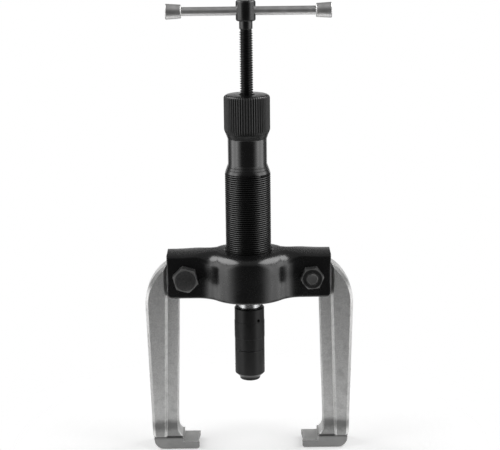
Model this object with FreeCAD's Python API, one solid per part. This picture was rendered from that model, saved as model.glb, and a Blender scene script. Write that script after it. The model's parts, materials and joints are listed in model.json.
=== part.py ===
import FreeCAD, Part
import math
import os

from FreeCAD import Vector

# Two-jaw gear puller with a hydraulic spindle, standing on the soles of its jaws.
# Millimetres. Z is up, X runs across the two jaws, Y from front to back, and the
# origin is on the spindle axis at the level of the soles.
# The puller is the same after half a turn about the spindle: the left jaw bolt
# has its head in front and the right one its nut.

# ---------------------------------------------------------------- jaw pivots
pivot_height = 154.2
pivot_spacing = 105.8

# ---------------------------------------------------------------- yoke
yoke_length = 138.2
yoke_height = 36.7
yoke_below_pivot = 18.4
wing_depth = 28.0
ring_diameter = 70.0
ring_blend_radius = 22.0
wing_edge_radius = 4.0
ring_side_edge_radius = 5.0
ring_front_edge_radius = 7.0
yoke_lower_edge_radius = 3.0
yoke_end_waist = 0.7
yoke_end_lower_radius = 2.6
yoke_end_upper_radius = 1.0
slot_roof_thickness = 4.8
slot_corner_radius = 7.0
slot_mouth_chamfer = 2.0
bore_upper_chamfer = 1.8
bore_lower_chamfer = 1.0

# ---------------------------------------------------------------- jaws
tongue_thickness = 14.0
tongue_radius = 12.0
flange_thickness = 18.8
jaw_reach = 87.95
shoulder_radius = 42.5
shoulder_drop = 24.9
leg_depth = 28.6
leg_outer_taper = 1.56
leg_inner_taper = 1.66
armpit_radius = 12.0
web_step_at_yoke = 69.1
web_step_taper = 1.5
web_step_bulge = 0.9
web_step_bevel = 2.0
crest_overrun_angle = 12.0
crest_overrun_share = 0.3
leg_outer_bevel = 2.3
leg_inner_bevel = 0.9
flare_start = 31.0
flare_depth = 3.7
ledge_height = 10.1
foot_width = 25.0
heel_reach = 83.4
heel_radius = 8.5
heel_shoulder = 4.4
nose_reach = 44.3
nose_root = 57.9
nose_thickness = 6.5
nose_lower_radius = 2.6
nose_hollow = 1.5
foot_blend_radius = 11.5
ankle_sections = 6

# ---------------------------------------------------------------- jaw bolts
shank_diameter = 12.0
bolt_thread_diameter = 10.0
bolt_head_width = 19.0
bolt_head_height = 7.5
bolt_head_face = 16.5
bolt_head_turn = 45.0
nut_width = 17.0
nut_height = 8.0
nut_face = 15.6
nut_turn = 6.0
bolt_end_projection = 1.6
bolt_end_chamfer = 1.0
hex_chamfer_angle = 30.0
hex_seat_share = 0.96
hex_seat_height = 0.4

# ---------------------------------------------------------------- hydraulic body
body_rise_in_yoke = 1.3
body_thread_diameter = 38.1
body_thread_length = 103.2
lower_cone_height = 8.5
neck_diameter = 32.6
neck_length = 21.1
upper_cone_height = 7.6
head_diameter = 38.2
head_height = 28.8
head_rim_radius = 2.8
main_bore_diameter = 28.0
main_bore_length = 75.5
gland_diameter = 30.0
gland_height = 12.4
pump_bore_diameter = 12.0
pump_bore_length = 64.0
body_end_chamfer = 1.0
screw_mouth_depth = 0.8
screw_mouth_flare = 1.3
spanner_hole_diameter = 1.6
spanner_hole_depth = 4.0

# ---------------------------------------------------------------- pressure screw
screw_diameter = 10.8
screw_exposed_length = 53.5
collar_diameter = 11.0
collar_height = 6.6
hub_diameter = 16.3
hub_height = 16.7
hub_edge_radius = 1.6
cross_hole_height = 8.1
screw_tail = 16.3
screw_end_chamfer = 1.0
collar_chamfer = 0.5
ball_diameter = 6.35
ball_seat_depth = 1.65
plunger_length = 14.0
plunger_chamfer = 0.6
plunger_groove_start = 2.5

# ---------------------------------------------------------------- tommy bar
tommy_bar_diameter = 7.2
tommy_bar_span = 135.0
tommy_bar_offset = 2.3
tommy_bar_chamfer = 0.5
knob_length = 12.8
knob_inner_diameter = 11.2
knob_outer_diameter = 12.9
knob_bore_depth = 10.0
knob_edge_radius = 0.8
knob_dish_depth = 0.9
knob_dish_diameter = 10.6

# ---------------------------------------------------------------- ram
rod_diameter = 20.0
piston_height = 12.0
piston_top_gap = 2.0
rod_projection = 37.2
rod_groove_width = 3.6
rod_groove_depth = 1.1
rod_chamfer = 1.0
piston_chamfer = 0.8
piston_groove_start = 3.4

# ---------------------------------------------------------------- return spring
spring_wire = 2.4
spring_mean_diameter = 24.4
spring_turns = 7

# ---------------------------------------------------------------- nose pieces on the ram
sleeve_diameter = 25.4
sleeve_length = 37.4
sleeve_socket_depth = 24.9
sleeve_band_diameter = 25.8
sleeve_band_start = 12.1
sleeve_band_height = 14.8
sleeve_top_chamfer = 1.0
sleeve_mouth_chamfer = 0.6
grub_screw_drop = 10.4
grub_screw_diameter = 3.0
grub_screw_recess = 0.4
grub_socket_width = 1.5
grub_screw_azimuth = -53.0
tip_body_length = 21.3
tip_cone_height = 3.9
tip_pad_diameter = 17.3
tip_pad_height = 2.0
tip_spigot_diameter = 16.0
tip_spigot_length = 9.6
tip_pad_chamfer = 0.4
tip_spigot_chamfer = 0.8
center_pin_diameter = 6.0
center_pin_length = 16.0
center_point_height = 1.5
center_pin_end_chamfer = 0.8
joint_chamfer = 0.5

# ---------------------------------------------------------------- seals
piston_ring_section = 2.8
plunger_ring_section = 1.9
spigot_ring_section = 1.8
backup_ring_height = 1.4
wiper_width = 2.4
wiper_height = 3.6
wiper_lip_drop = 0.8
wiper_lip_width = 0.7
wiper_shoulder = 0.6
wiper_heel = 0.5
groove_side_play = 0.1

# ---------------------------------------------------------------- clearances
running_fit = 0.05
seat_gap = 0.03
slot_clearance = 0.3
tongue_end_clearance = 0.8

# how far a cutter runs past the surface it opens
cutter_overrun = 1.0
# edges are picked by where they are, to within this distance
match_distance = 0.01

# ---------------------------------------------------------------- levels and reaches
pivot_reach = pivot_spacing / 2
yoke_bottom = pivot_height - yoke_below_pivot
yoke_top = yoke_bottom + yoke_height
yoke_reach = yoke_length / 2
slot_half = tongue_thickness / 2 + slot_clearance
slot_roof = yoke_top - slot_roof_thickness

body_bottom = yoke_bottom + body_rise_in_yoke
thread_top = body_bottom + body_thread_length
neck_bottom = thread_top + lower_cone_height
neck_top = neck_bottom + neck_length
head_bottom = neck_top + upper_cone_height
head_top = head_bottom + head_height
gland_top = body_bottom + gland_height
main_bore_top = gland_top + main_bore_length
pump_bore_top = main_bore_top + pump_bore_length

collar_bottom = head_top + screw_exposed_length
hub_bottom = collar_bottom + collar_height
hub_top = hub_bottom + hub_height
screw_bottom = head_top - screw_tail
cross_hole_level = hub_bottom + cross_hole_height
ball_center = screw_bottom + ball_seat_depth - ball_diameter / 2
plunger_top = ball_center - ball_diameter / 2 + ball_seat_depth
plunger_bottom = plunger_top - plunger_length

piston_top = main_bore_top - piston_top_gap
piston_bottom = piston_top - piston_height
rod_bottom = body_bottom - rod_projection
sleeve_bottom = rod_bottom - seat_gap - (sleeve_length - sleeve_socket_depth)
sleeve_top = sleeve_bottom + sleeve_length
grub_screw_level = sleeve_top - grub_screw_drop
tip_shoulder = sleeve_bottom - seat_gap
tip_cone_top = tip_shoulder - tip_body_length
tip_pad_top = tip_cone_top - tip_cone_height
tip_bottom = tip_pad_top - tip_pad_height


# ---------------------------------------------------------------- drawing helpers
def on_front(x, z):
    return Vector(x, 0, z)


def on_side(y, z):
    return Vector(0, y, z)


def on_plan(x, y):
    return Vector(x, y, 0)


def line(start, end):
    return Part.makeLine(start, end)


def arc(start, middle, end):
    return Part.Arc(start, middle, end).toShape()


def face_of(edges):
    return Part.Face(Part.Wire(Part.__sortEdges__(edges)))


def polygon_face(points):
    return Part.Face(Part.makePolygon(points + [points[0]]))


def rounded_polygon(corners, place):
    """Closed face through (u, v, radius) corners, each rounded by its radius."""
    starts, middles, ends = [], [], []
    count = len(corners)
    for index, (u, v, radius) in enumerate(corners):
        corner = Vector(u, v, 0)
        before = Vector(*corners[index - 1][:2], 0) - corner
        after = Vector(*corners[(index + 1) % count][:2], 0) - corner
        before.normalize()
        after.normalize()
        half_angle = before.getAngle(after) / 2
        reach = radius / math.tan(half_angle)
        bisector = (before + after).normalize()
        middle = corner + bisector * (radius / math.sin(half_angle) - radius)
        starts.append(corner + before * reach)
        middles.append(middle)
        ends.append(corner + after * reach)
    edges = []
    for index in range(count):
        start, middle, end = (place(p.x, p.y) for p in (starts[index], middles[index], ends[index]))
        following = place(starts[(index + 1) % count].x, starts[(index + 1) % count].y)
        if corners[index][2] > 0:
            edges.append(arc(start, middle, end))
        if (following - end).Length > 1e-6:
            edges.append(line(end, following))
    return Part.Face(Part.Wire(edges))


def extruded_both_ways(face, direction, half_length):
    shifted = face.translated(direction * -half_length)
    return shifted.extrude(direction * (2 * half_length))


def turned(profile):
    """Solid of revolution about Z from (radius, height) points."""
    points = [on_front(radius, height) for radius, height in profile]
    return polygon_face(points).revolve(Vector(), Vector(0, 0, 1), 360)


def tube(outer_radius, inner_radius, bottom, top):
    profile = [(inner_radius, bottom), (outer_radius, bottom), (outer_radius, top), (inner_radius, top)]
    return turned(profile)


def ring_of_round_section(outer_radius, section, level):
    return Part.makeTorus(outer_radius - section / 2, section / 2, Vector(0, 0, level))


def cylinder_along(direction, radius, start, length):
    return Part.makeCylinder(radius, length, start, direction)


def half_turned(shape):
    """The same piece on the other side of the spindle."""
    return shape.rotated(Vector(), Vector(0, 0, 1), 180)


def edges_at(shape, accept):
    return [edge for edge in shape.Edges if accept(edge.CenterOfMass, edge)]


def same(first, second):
    return abs(first - second) < match_distance


def lies_at_level(edge, level):
    return all(same(vertex.Z, level) for vertex in edge.Vertexes)


# ---------------------------------------------------------------- yoke
def yoke_outline():
    """Plan of the yoke: a ring with a wing each side, blended by hollow arcs."""
    ring = ring_diameter / 2
    half_depth = wing_depth / 2
    blend_y = half_depth + ring_blend_radius
    blend_x = math.sqrt((ring + ring_blend_radius) ** 2 - blend_y ** 2)
    share = ring / (ring + ring_blend_radius)
    toward_wing = Vector(0, -1, 0)
    toward_ring = Vector(-blend_x, -blend_y, 0).normalize()
    blend_middle = Vector(blend_x, blend_y, 0)
    blend_middle += (toward_wing + toward_ring).normalize() * ring_blend_radius

    edges = []
    for sx in (1, -1):
        edges.append(line(on_plan(sx * yoke_reach, -half_depth), on_plan(sx * yoke_reach, half_depth)))
        for sy in (1, -1):
            ring_point = on_plan(sx * blend_x * share, sy * blend_y * share)
            wing_point = on_plan(sx * blend_x, sy * half_depth)
            crown = on_plan(0, sy * ring)
            turn = math.atan2(blend_y, blend_x) / 2 + math.pi / 4
            ring_middle = on_plan(sx * ring * math.cos(turn), sy * ring * math.sin(turn))
            edges.append(arc(crown, ring_middle, ring_point))
            edges.append(arc(ring_point, on_plan(sx * blend_middle.x, sy * blend_middle.y), wing_point))
            edges.append(line(wing_point, on_plan(sx * yoke_reach, sy * half_depth)))
    return face_of(edges), blend_x, blend_x * share


def with_edge_radii(shape, radius_at, accept):
    """Round the accepted edges by a radius that changes from point to point."""
    document = FreeCAD.newDocument("rounding")
    base = document.addObject("Part::Feature", "base")
    base.Shape = shape
    rounding = document.addObject("Part::Fillet", "rounding")
    rounding.Base = base
    chosen = []
    for number, edge in enumerate(base.Shape.Edges, 1):
        if accept(edge):
            first = radius_at(edge.valueAt(edge.FirstParameter))
            last = radius_at(edge.valueAt(edge.LastParameter))
            chosen.append((number, first, last))
    rounding.Edges = chosen
    document.recompute()
    result = rounding.Shape.Solids[0].copy()
    FreeCAD.closeDocument(document.Name)
    return result


def rounded_yoke_blank():
    outline, blend_x, ring_x = yoke_outline()
    blank = outline.translated(Vector(0, 0, yoke_bottom)).extrude(Vector(0, 0, yoke_height))
    waist_radius = ((yoke_height / 2) ** 2 + yoke_end_waist ** 2) / (2 * yoke_end_waist)
    for side in (1, -1):
        axis_x = side * (yoke_reach - yoke_end_waist + waist_radius)
        start = Vector(axis_x, -wing_depth, yoke_bottom + yoke_height / 2)
        blank = blank.cut(cylinder_along(Vector(0, 1, 0), waist_radius, start, 2 * wing_depth))

    def radius_at(point):
        reach = abs(point.x)
        if reach > blend_x - match_distance:
            return wing_edge_radius
        if reach > ring_x - match_distance:
            return ring_side_edge_radius
        return ring_front_edge_radius

    def is_long_edge(edge, level):
        crosses_end = same(edge.CenterOfMass.y, 0)
        return lies_at_level(edge, level) and not crosses_end

    def end_radius_at(point):
        return yoke_end_lower_radius if point.z < pivot_height else yoke_end_upper_radius

    def is_end_edge(edge):
        center = edge.CenterOfMass
        return same(center.y, 0) and same(abs(center.x), yoke_reach) and lies_at_level(edge, center.z)

    blank = with_edge_radii(blank, radius_at, lambda edge: is_long_edge(edge, yoke_top))
    lower = [edge for edge in blank.Edges if is_long_edge(edge, yoke_bottom)]
    blank = blank.makeFillet(yoke_lower_edge_radius, lower).Solids[0]
    return with_edge_radii(blank, end_radius_at, is_end_edge)


def jaw_slot():
    """Cutter for the right slot, open downward and at the end of the wing."""
    inner = pivot_reach - tongue_radius - tongue_end_clearance
    outer = yoke_reach + wing_depth
    below = yoke_bottom - wing_depth
    corners = [
        (inner, below, 0), (outer, below, 0), (outer, slot_roof, 0), (inner, slot_roof, slot_corner_radius)]
    slot = extruded_both_ways(rounded_polygon(corners, on_front), Vector(0, 1, 0), slot_half)
    start = yoke_reach - slot_mouth_chamfer
    wide = slot_half + slot_mouth_chamfer + (outer - yoke_reach)
    mouth = polygon_face([
        on_plan(start, -slot_half), on_plan(outer, -wide), on_plan(outer, wide), on_plan(start, slot_half)])
    mouth = mouth.translated(Vector(0, 0, below)).extrude(Vector(0, 0, slot_roof - below))
    return slot.fuse(mouth)


def yoke():
    blank = rounded_yoke_blank()
    slot = jaw_slot()
    blank = blank.cut(slot).cut(half_turned(slot))
    bore = body_thread_diameter / 2 + running_fit
    bore_cut = turned([
        (0, yoke_bottom - cutter_overrun),
        (bore + bore_lower_chamfer + cutter_overrun, yoke_bottom - cutter_overrun),
        (bore, yoke_bottom + bore_lower_chamfer), (bore, yoke_top - bore_upper_chamfer),
        (bore + bore_upper_chamfer + cutter_overrun, yoke_top + cutter_overrun),
        (0, yoke_top + cutter_overrun)])
    blank = blank.cut(bore_cut)
    for side in (1, -1):
        start = Vector(side * pivot_reach, -wing_depth, pivot_height)
        hole = cylinder_along(Vector(0, 1, 0), shank_diameter / 2 + running_fit, start, 2 * wing_depth)
        blank = blank.cut(hole)
    return blank


# ---------------------------------------------------------------- jaws
shoulder_x = jaw_reach - shoulder_radius
shoulder_z = pivot_height - shoulder_drop
outer_lean = math.radians(leg_outer_taper)
inner_lean = math.radians(leg_inner_taper)
step_lean = math.radians(web_step_taper)


def on_shoulder(angle):
    """Point of the outer shoulder arc, by its angle above the level."""
    return on_front(shoulder_x, shoulder_z) + on_front(math.cos(angle), math.sin(angle)) * shoulder_radius


def outer_x(z):
    """Outer side of the leg, which turns in above the heel."""
    arc_end = on_shoulder(-outer_lean)
    knee = ledge_height + heel_shoulder
    knee_x = arc_end.x - (arc_end.z - knee) * math.tan(outer_lean)
    if z >= knee:
        return arc_end.x - (arc_end.z - z) * math.tan(outer_lean)
    return heel_reach + (knee_x - heel_reach) * math.sqrt((z - ledge_height) / heel_shoulder)


def inner_x(z):
    """Inner side of the leg, which ends in a hollow arc above the nose."""
    straight = jaw_reach - leg_depth + (shoulder_z - z) * math.tan(inner_lean)
    below = foot_blend_top() - z
    if below <= 0:
        return straight
    return straight - foot_blend_radius + math.sqrt(foot_blend_radius ** 2 - below ** 2)


def foot_blend_top():
    """Level at which the hollow arc leaves the straight leg, so that it reaches the nose."""
    straight = jaw_reach - leg_depth + (shoulder_z - ledge_height) * math.tan(inner_lean)
    inset = foot_blend_radius - (straight - nose_root)
    return ledge_height + math.sqrt(foot_blend_radius ** 2 - inset ** 2)


def step_x(z):
    return web_step_at_yoke + (yoke_bottom - z) * math.tan(step_lean)


def flare(z):
    """How far the front and back of the leg have spread at this level."""
    drop = flare_start - ledge_height
    radius = (drop ** 2 + flare_depth ** 2) / (2 * flare_depth)
    return radius - math.sqrt(radius ** 2 - (flare_start - z) ** 2)


def shoulder_crest_angle():
    return math.acos((web_step_at_yoke - shoulder_x) / shoulder_radius)


def crest_point():
    """Where the step of the web meets the outer shoulder arc."""
    return on_shoulder(shoulder_crest_angle())


def bevelled_plate(edges, half_thickness, bevel, is_beveled):
    """Upright plate whose broad faces are bevelled along the accepted edges."""
    plate = extruded_both_ways(face_of(edges), Vector(0, 1, 0), half_thickness)

    def accept(center, edge):
        return same(abs(center.y), half_thickness) and is_beveled(center.x, center.z)
    return plate.makeChamfer(bevel, edges_at(plate, accept)).Solids[0]


def tongue_and_web():
    """Thin inner part of the jaw: the eye in the yoke and the web of the leg."""
    eye = on_front(pivot_reach, pivot_height)
    crest = crest_point()
    to_crest = crest - eye
    eye_start = math.atan2(to_crest.z, to_crest.x) + math.acos(tongue_radius / to_crest.Length)
    armpit_x = inner_x(shoulder_z) - armpit_radius
    armpit_drop = math.sqrt((tongue_radius + armpit_radius) ** 2 - (pivot_reach - armpit_x) ** 2)
    armpit = on_front(armpit_x, pivot_height - armpit_drop)
    eye_end = math.atan2(armpit.z - eye.z, armpit.x - eye.x) + 2 * math.pi
    armpit_start = eye_end - math.pi

    def on_eye(angle):
        return eye + on_front(math.cos(angle), math.sin(angle)) * tongue_radius

    def on_armpit(angle):
        return armpit + on_front(math.cos(angle), math.sin(angle)) * armpit_radius

    leg_top = on_armpit(0)
    web_foot = on_front(inner_x(flare_start), flare_start)
    outer_foot = on_front(outer_x(flare_start), flare_start)
    arc_end = on_shoulder(-outer_lean)
    edges = [
        line(crest, on_eye(eye_start)),
        arc(on_eye(eye_start), on_eye((eye_start + eye_end) / 2), on_eye(eye_end)),
        arc(on_eye(eye_end), on_armpit(armpit_start / 2), leg_top),
        line(leg_top, web_foot),
        line(web_foot, outer_foot),
        line(outer_foot, arc_end),
        arc(arc_end, on_shoulder(shoulder_crest_angle() / 2), crest),
    ]

    def is_inner_edge(x, z):
        return flare_start < z < leg_top.z and x < inner_x(z) + leg_inner_bevel
    return bevelled_plate(edges, tongue_thickness / 2, leg_inner_bevel, is_inner_edge)


def flange():
    """Thick outer part of the jaw, bevelled along its step and along its outer side."""
    crest = crest_point()
    crest_angle = shoulder_crest_angle()
    above_crest = on_shoulder(crest_angle + math.radians(crest_overrun_angle))
    arc_end = on_shoulder(-outer_lean)
    outer_foot = on_front(outer_x(flare_start), flare_start)
    middle_x = (step_x(flare_start) + outer_foot.x) / 2
    outer_side = [
        arc(above_crest, on_shoulder(crest_angle / 2), arc_end),
        line(arc_end, outer_foot),
        line(outer_foot, on_front(nose_reach, flare_start)),
        line(on_front(nose_reach, flare_start), on_front(nose_reach, above_crest.z)),
        line(on_front(nose_reach, above_crest.z), above_crest),
    ]
    step_foot = on_front(step_x(flare_start), flare_start)
    step_knee = on_front(step_x(yoke_bottom), yoke_bottom)
    step_top = crest + (crest - step_knee) * crest_overrun_share
    beyond = jaw_reach + leg_depth
    step_side = [
        line(step_foot, step_knee),
        arc(step_knee, (step_knee + crest) * 0.5 + on_front(web_step_bulge, 0), crest),
        line(crest, step_top),
        line(step_top, on_front(beyond, step_top.z)),
        line(on_front(beyond, step_top.z), on_front(beyond, flare_start)),
        line(on_front(beyond, flare_start), step_foot),
    ]
    half = flange_thickness / 2

    def is_outer_edge(x, z):
        return z > flare_start + match_distance and x > middle_x

    def is_step_edge(x, z):
        return z > flare_start + match_distance and x < middle_x
    outer_plate = bevelled_plate(outer_side, half, leg_outer_bevel, is_outer_edge)
    step_plate = bevelled_plate(step_side, half, web_step_bevel, is_step_edge)
    return outer_plate.common(step_plate)


def leg_section(z):
    """Level section of the leg: web, step and flange with their bevels."""
    web_half = tongue_thickness / 2 + flare(z)
    flange_half = flange_thickness / 2 + flare(z)
    inner = inner_x(z)
    step = step_x(z)
    outer = outer_x(z)
    front = [
        (inner, web_half - leg_inner_bevel),
        (inner + leg_inner_bevel / math.cos(inner_lean), web_half),
        (step, web_half),
        (step, flange_half - web_step_bevel),
        (step + web_step_bevel / math.cos(step_lean), flange_half),
        (outer - leg_outer_bevel / math.cos(outer_lean), flange_half),
        (outer, flange_half - leg_outer_bevel),
    ]
    points = [Vector(x, -y, z) for x, y in front] + [Vector(x, y, z) for x, y in reversed(front)]
    return Part.makePolygon(points + [points[0]])


def ankle():
    """Lower end of the leg, which spreads to the front and back above the foot."""
    sections = []
    for step in range(ankle_sections + 1):
        share = step / ankle_sections
        sections.append(leg_section(flare_start + (ledge_height - flare_start) * share))
    return Part.makeLoft(sections, True, False)


def foot():
    """Machined sole with the heel, and the nose that grips behind the gear."""
    corners = [
        (heel_reach, ledge_height, 0), (heel_reach, 0, heel_radius), (nose_reach, 0, nose_lower_radius),
        (nose_reach, nose_thickness, 0), (nose_root, nose_thickness, 0), (nose_root, ledge_height, 0)]
    block = extruded_both_ways(rounded_polygon(corners, on_front), Vector(0, 1, 0), foot_width / 2)
    hollow_radius = ((foot_width / 2) ** 2 + nose_hollow ** 2) / (2 * nose_hollow)
    start = Vector(nose_reach + nose_hollow - hollow_radius, 0, -cutter_overrun)
    return block.cut(Part.makeCylinder(hollow_radius, ledge_height + 2 * cutter_overrun, start))


def jaw():
    """The right jaw, one forging."""
    forging = flange().fuse([tongue_and_web(), ankle(), foot()]).removeSplitter()
    start = Vector(pivot_reach, -flange_thickness, pivot_height)
    hole = cylinder_along(Vector(0, 1, 0), shank_diameter / 2 + running_fit, start, 2 * flange_thickness)
    return forging.cut(hole)


# ---------------------------------------------------------------- jaw bolts
def chamfered_hexagon(width, height, face_diameter, turn):
    """Hexagon along Y, its chamfered face at y = 0 and its round seat at y = height."""
    corner = width / math.sqrt(3)
    points = []
    for index in range(6):
        angle = math.radians(turn + 60 * index)
        points.append(on_front(corner * math.cos(angle), corner * math.sin(angle)))
    prism = polygon_face(points).extrude(Vector(0, height, 0))
    rim = corner + cutter_overrun
    slope = math.tan(math.radians(hex_chamfer_angle))
    face = face_diameter / 2
    seat = width / 2 * hex_seat_share
    shoulder = height - hex_seat_height
    profile = [on_plan(0, 0), on_plan(face, 0), on_plan(rim, (rim - face) * slope), on_plan(rim, shoulder),
               on_plan(seat, shoulder), on_plan(seat, height), on_plan(0, height)]
    return prism.common(polygon_face(profile).revolve(Vector(), Vector(0, 1, 0), 360))


def left_jaw_bolt():
    """Shoulder bolt with its head in front and its thread behind."""
    seat = -wing_depth / 2 - seat_gap
    head = chamfered_hexagon(bolt_head_width, bolt_head_height, bolt_head_face, bolt_head_turn)
    head = head.translated(Vector(0, seat - bolt_head_height, 0))
    shank = cylinder_along(Vector(0, 1, 0), shank_diameter / 2, Vector(0, seat, 0), wing_depth / 2 - seat)
    thread_start = wing_depth / 2
    thread_end = thread_start + seat_gap + nut_height + bolt_end_projection
    thread = cylinder_along(
        Vector(0, 1, 0), bolt_thread_diameter / 2, Vector(0, thread_start, 0), thread_end - thread_start)
    thread = thread.makeChamfer(bolt_end_chamfer, edges_at(thread, lambda c, e: same(c.y, thread_end)))
    return head.fuse([shank, thread]).translated(Vector(-pivot_reach, 0, pivot_height))


def left_jaw_nut():
    """Nut behind the left wing; its chamfered face looks away from the yoke."""
    nut = chamfered_hexagon(nut_width, nut_height, nut_face, nut_turn)
    start = Vector(0, -cutter_overrun, 0)
    nut = nut.cut(cylinder_along(
        Vector(0, 1, 0), bolt_thread_diameter / 2 + running_fit, start, nut_height + 2 * cutter_overrun))
    nut = nut.rotated(Vector(), Vector(0, 0, 1), 180)
    seat = wing_depth / 2 + seat_gap
    return nut.translated(Vector(-pivot_reach, seat + nut_height, pivot_height))


# ---------------------------------------------------------------- hydraulic body
def hydraulic_body():
    thread = body_thread_diameter / 2
    neck = neck_diameter / 2
    head = head_diameter / 2
    body = turned([
        (0, body_bottom), (thread - body_end_chamfer, body_bottom),
        (thread, body_bottom + body_end_chamfer), (thread, thread_top),
        (neck, neck_bottom), (neck, neck_top), (head, head_bottom), (head, head_top), (0, head_top)])
    rim = edges_at(body, lambda c, e: same(c.z, head_top))
    body = body.makeFillet(head_rim_radius, rim)
    gland = gland_diameter / 2 + running_fit
    main = main_bore_diameter / 2 + running_fit
    pump = pump_bore_diameter / 2 + running_fit
    screw = screw_diameter / 2 + running_fit
    cavity = turned([
        (0, body_bottom - cutter_overrun), (gland, body_bottom - cutter_overrun), (gland, gland_top),
        (main, gland_top), (main, main_bore_top), (pump, main_bore_top), (pump, pump_bore_top),
        (screw, pump_bore_top), (screw, head_top - screw_mouth_depth), (screw + screw_mouth_flare, head_top),
        (screw + screw_mouth_flare, head_top + cutter_overrun), (0, head_top + cutter_overrun)])
    return body.cut(cavity)


def gland_nut():
    outer = gland_diameter / 2
    inner = rod_diameter / 2 + running_fit
    groove = inner + wiper_width + seat_gap
    nut = turned([
        (groove, body_bottom), (outer, body_bottom), (outer, gland_top - seat_gap),
        (inner, gland_top - seat_gap), (inner, body_bottom + wiper_height + seat_gap),
        (groove, body_bottom + wiper_height + seat_gap)])
    for side in (1, -1):
        start = Vector(0, side * (groove + outer) / 2, body_bottom - cutter_overrun)
        hole = cylinder_along(
            Vector(0, 0, 1), spanner_hole_diameter / 2, start, spanner_hole_depth + cutter_overrun)
        nut = nut.cut(hole)
    return nut


def rod_wiper():
    inner = rod_diameter / 2 + running_fit
    outer = inner + wiper_width
    top = body_bottom + wiper_height
    lip = body_bottom - wiper_lip_drop
    return turned([
        (inner, lip), (inner + wiper_lip_width, lip), (outer, body_bottom + wiper_shoulder), (outer, top),
        (inner + wiper_heel, top)])


# ---------------------------------------------------------------- pressure screw and pump
def pressure_screw():
    thread = screw_diameter / 2
    collar = collar_diameter / 2
    hub = hub_diameter / 2
    stem = turned([
        (0, screw_bottom), (thread - screw_end_chamfer, screw_bottom),
        (thread, screw_bottom + screw_end_chamfer), (thread, collar_bottom),
        (collar, collar_bottom + collar_chamfer), (collar, cross_hole_level), (0, cross_hole_level)])
    block = Part.makeCylinder(hub, hub_height, Vector(0, 0, hub_bottom))
    block = block.makeFillet(hub_edge_radius, edges_at(block, lambda c, e: len(e.Vertexes) == 1))
    screw = stem.fuse(block)
    hole_start = Vector(-hub_diameter, 0, cross_hole_level)
    hole = cylinder_along(Vector(1, 0, 0), tommy_bar_diameter / 2 + running_fit, hole_start, 2 * hub_diameter)
    seat = Part.makeSphere(ball_diameter / 2 + seat_gap, Vector(0, 0, ball_center))
    return screw.cut(hole).cut(seat)


def thrust_ball():
    return Part.makeSphere(ball_diameter / 2, Vector(0, 0, ball_center))


plunger_groove_bottom = plunger_bottom + plunger_groove_start
plunger_backup_bottom = plunger_groove_bottom + plunger_ring_section + groove_side_play
plunger_groove_top = plunger_backup_bottom + backup_ring_height + groove_side_play
plunger_groove_radius = pump_bore_diameter / 2 - plunger_ring_section


def plunger():
    outer = pump_bore_diameter / 2
    body = turned([
        (0, plunger_bottom), (outer - plunger_chamfer, plunger_bottom),
        (outer, plunger_bottom + plunger_chamfer), (outer, plunger_groove_bottom),
        (plunger_groove_radius, plunger_groove_bottom),
        (plunger_groove_radius, plunger_groove_top), (outer, plunger_groove_top),
        (outer, plunger_top - plunger_chamfer), (outer - plunger_chamfer, plunger_top), (0, plunger_top)])
    return body.cut(Part.makeSphere(ball_diameter / 2 + seat_gap, Vector(0, 0, ball_center)))


def plunger_seal():
    level = plunger_groove_bottom + plunger_ring_section / 2 + groove_side_play / 2
    return ring_of_round_section(pump_bore_diameter / 2 + seat_gap, plunger_ring_section, level)


def plunger_backup_ring():
    top = plunger_backup_bottom + backup_ring_height
    return tube(pump_bore_diameter / 2, plunger_groove_radius + seat_gap, plunger_backup_bottom, top)


# ---------------------------------------------------------------- tommy bar
def tommy_bar():
    length = tommy_bar_span - 2 * knob_length + 2 * (knob_bore_depth - seat_gap)
    start = Vector(-length / 2, 0, cross_hole_level)
    bar = cylinder_along(Vector(1, 0, 0), tommy_bar_diameter / 2, start, length)
    return bar.makeChamfer(tommy_bar_chamfer, edges_at(bar, lambda c, e: len(e.Vertexes) == 1))


def right_knob():
    """Flared end knob with a dished outer face."""
    start = tommy_bar_span / 2 - knob_length
    direction = Vector(1, 0, 0)
    knob_start = Vector(start, 0, cross_hole_level)
    knob = Part.makeCone(knob_inner_diameter / 2, knob_outer_diameter / 2, knob_length, knob_start, direction)
    knob = knob.makeFillet(knob_edge_radius, edges_at(knob, lambda c, e: len(e.Vertexes) == 1))
    bore_start = Vector(start - cutter_overrun, 0, cross_hole_level)
    bore = cylinder_along(
        direction, tommy_bar_diameter / 2 + seat_gap, bore_start, knob_bore_depth + cutter_overrun)
    dish_radius = ((knob_dish_diameter / 2) ** 2 + knob_dish_depth ** 2) / (2 * knob_dish_depth)
    dish_center = Vector(tommy_bar_span / 2 - knob_dish_depth + dish_radius, 0, cross_hole_level)
    return knob.cut(bore).cut(Part.makeSphere(dish_radius, dish_center))


# ---------------------------------------------------------------- ram
piston_groove_bottom = piston_bottom + piston_groove_start
piston_ring_bottom = piston_groove_bottom + backup_ring_height + groove_side_play
piston_groove_top = piston_ring_bottom + piston_ring_section + groove_side_play
piston_groove_radius = main_bore_diameter / 2 - piston_ring_section


def ram():
    """Piston and rod in one piece, with a groove for the grub screw."""
    rod = rod_diameter / 2
    piston = main_bore_diameter / 2
    groove = rod - rod_groove_depth
    groove_bottom = grub_screw_level - rod_groove_width / 2
    groove_top = grub_screw_level + rod_groove_width / 2
    return turned([
        (0, rod_bottom), (rod - rod_chamfer, rod_bottom), (rod, rod_bottom + rod_chamfer),
        (rod, groove_bottom), (groove, groove_bottom), (groove, groove_top), (rod, groove_top),
        (rod, piston_bottom), (piston - piston_chamfer, piston_bottom),
        (piston, piston_bottom + piston_chamfer), (piston, piston_groove_bottom),
        (piston_groove_radius, piston_groove_bottom),
        (piston_groove_radius, piston_groove_top), (piston, piston_groove_top),
        (piston, piston_top - piston_chamfer), (piston - piston_chamfer, piston_top), (0, piston_top)])


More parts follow.
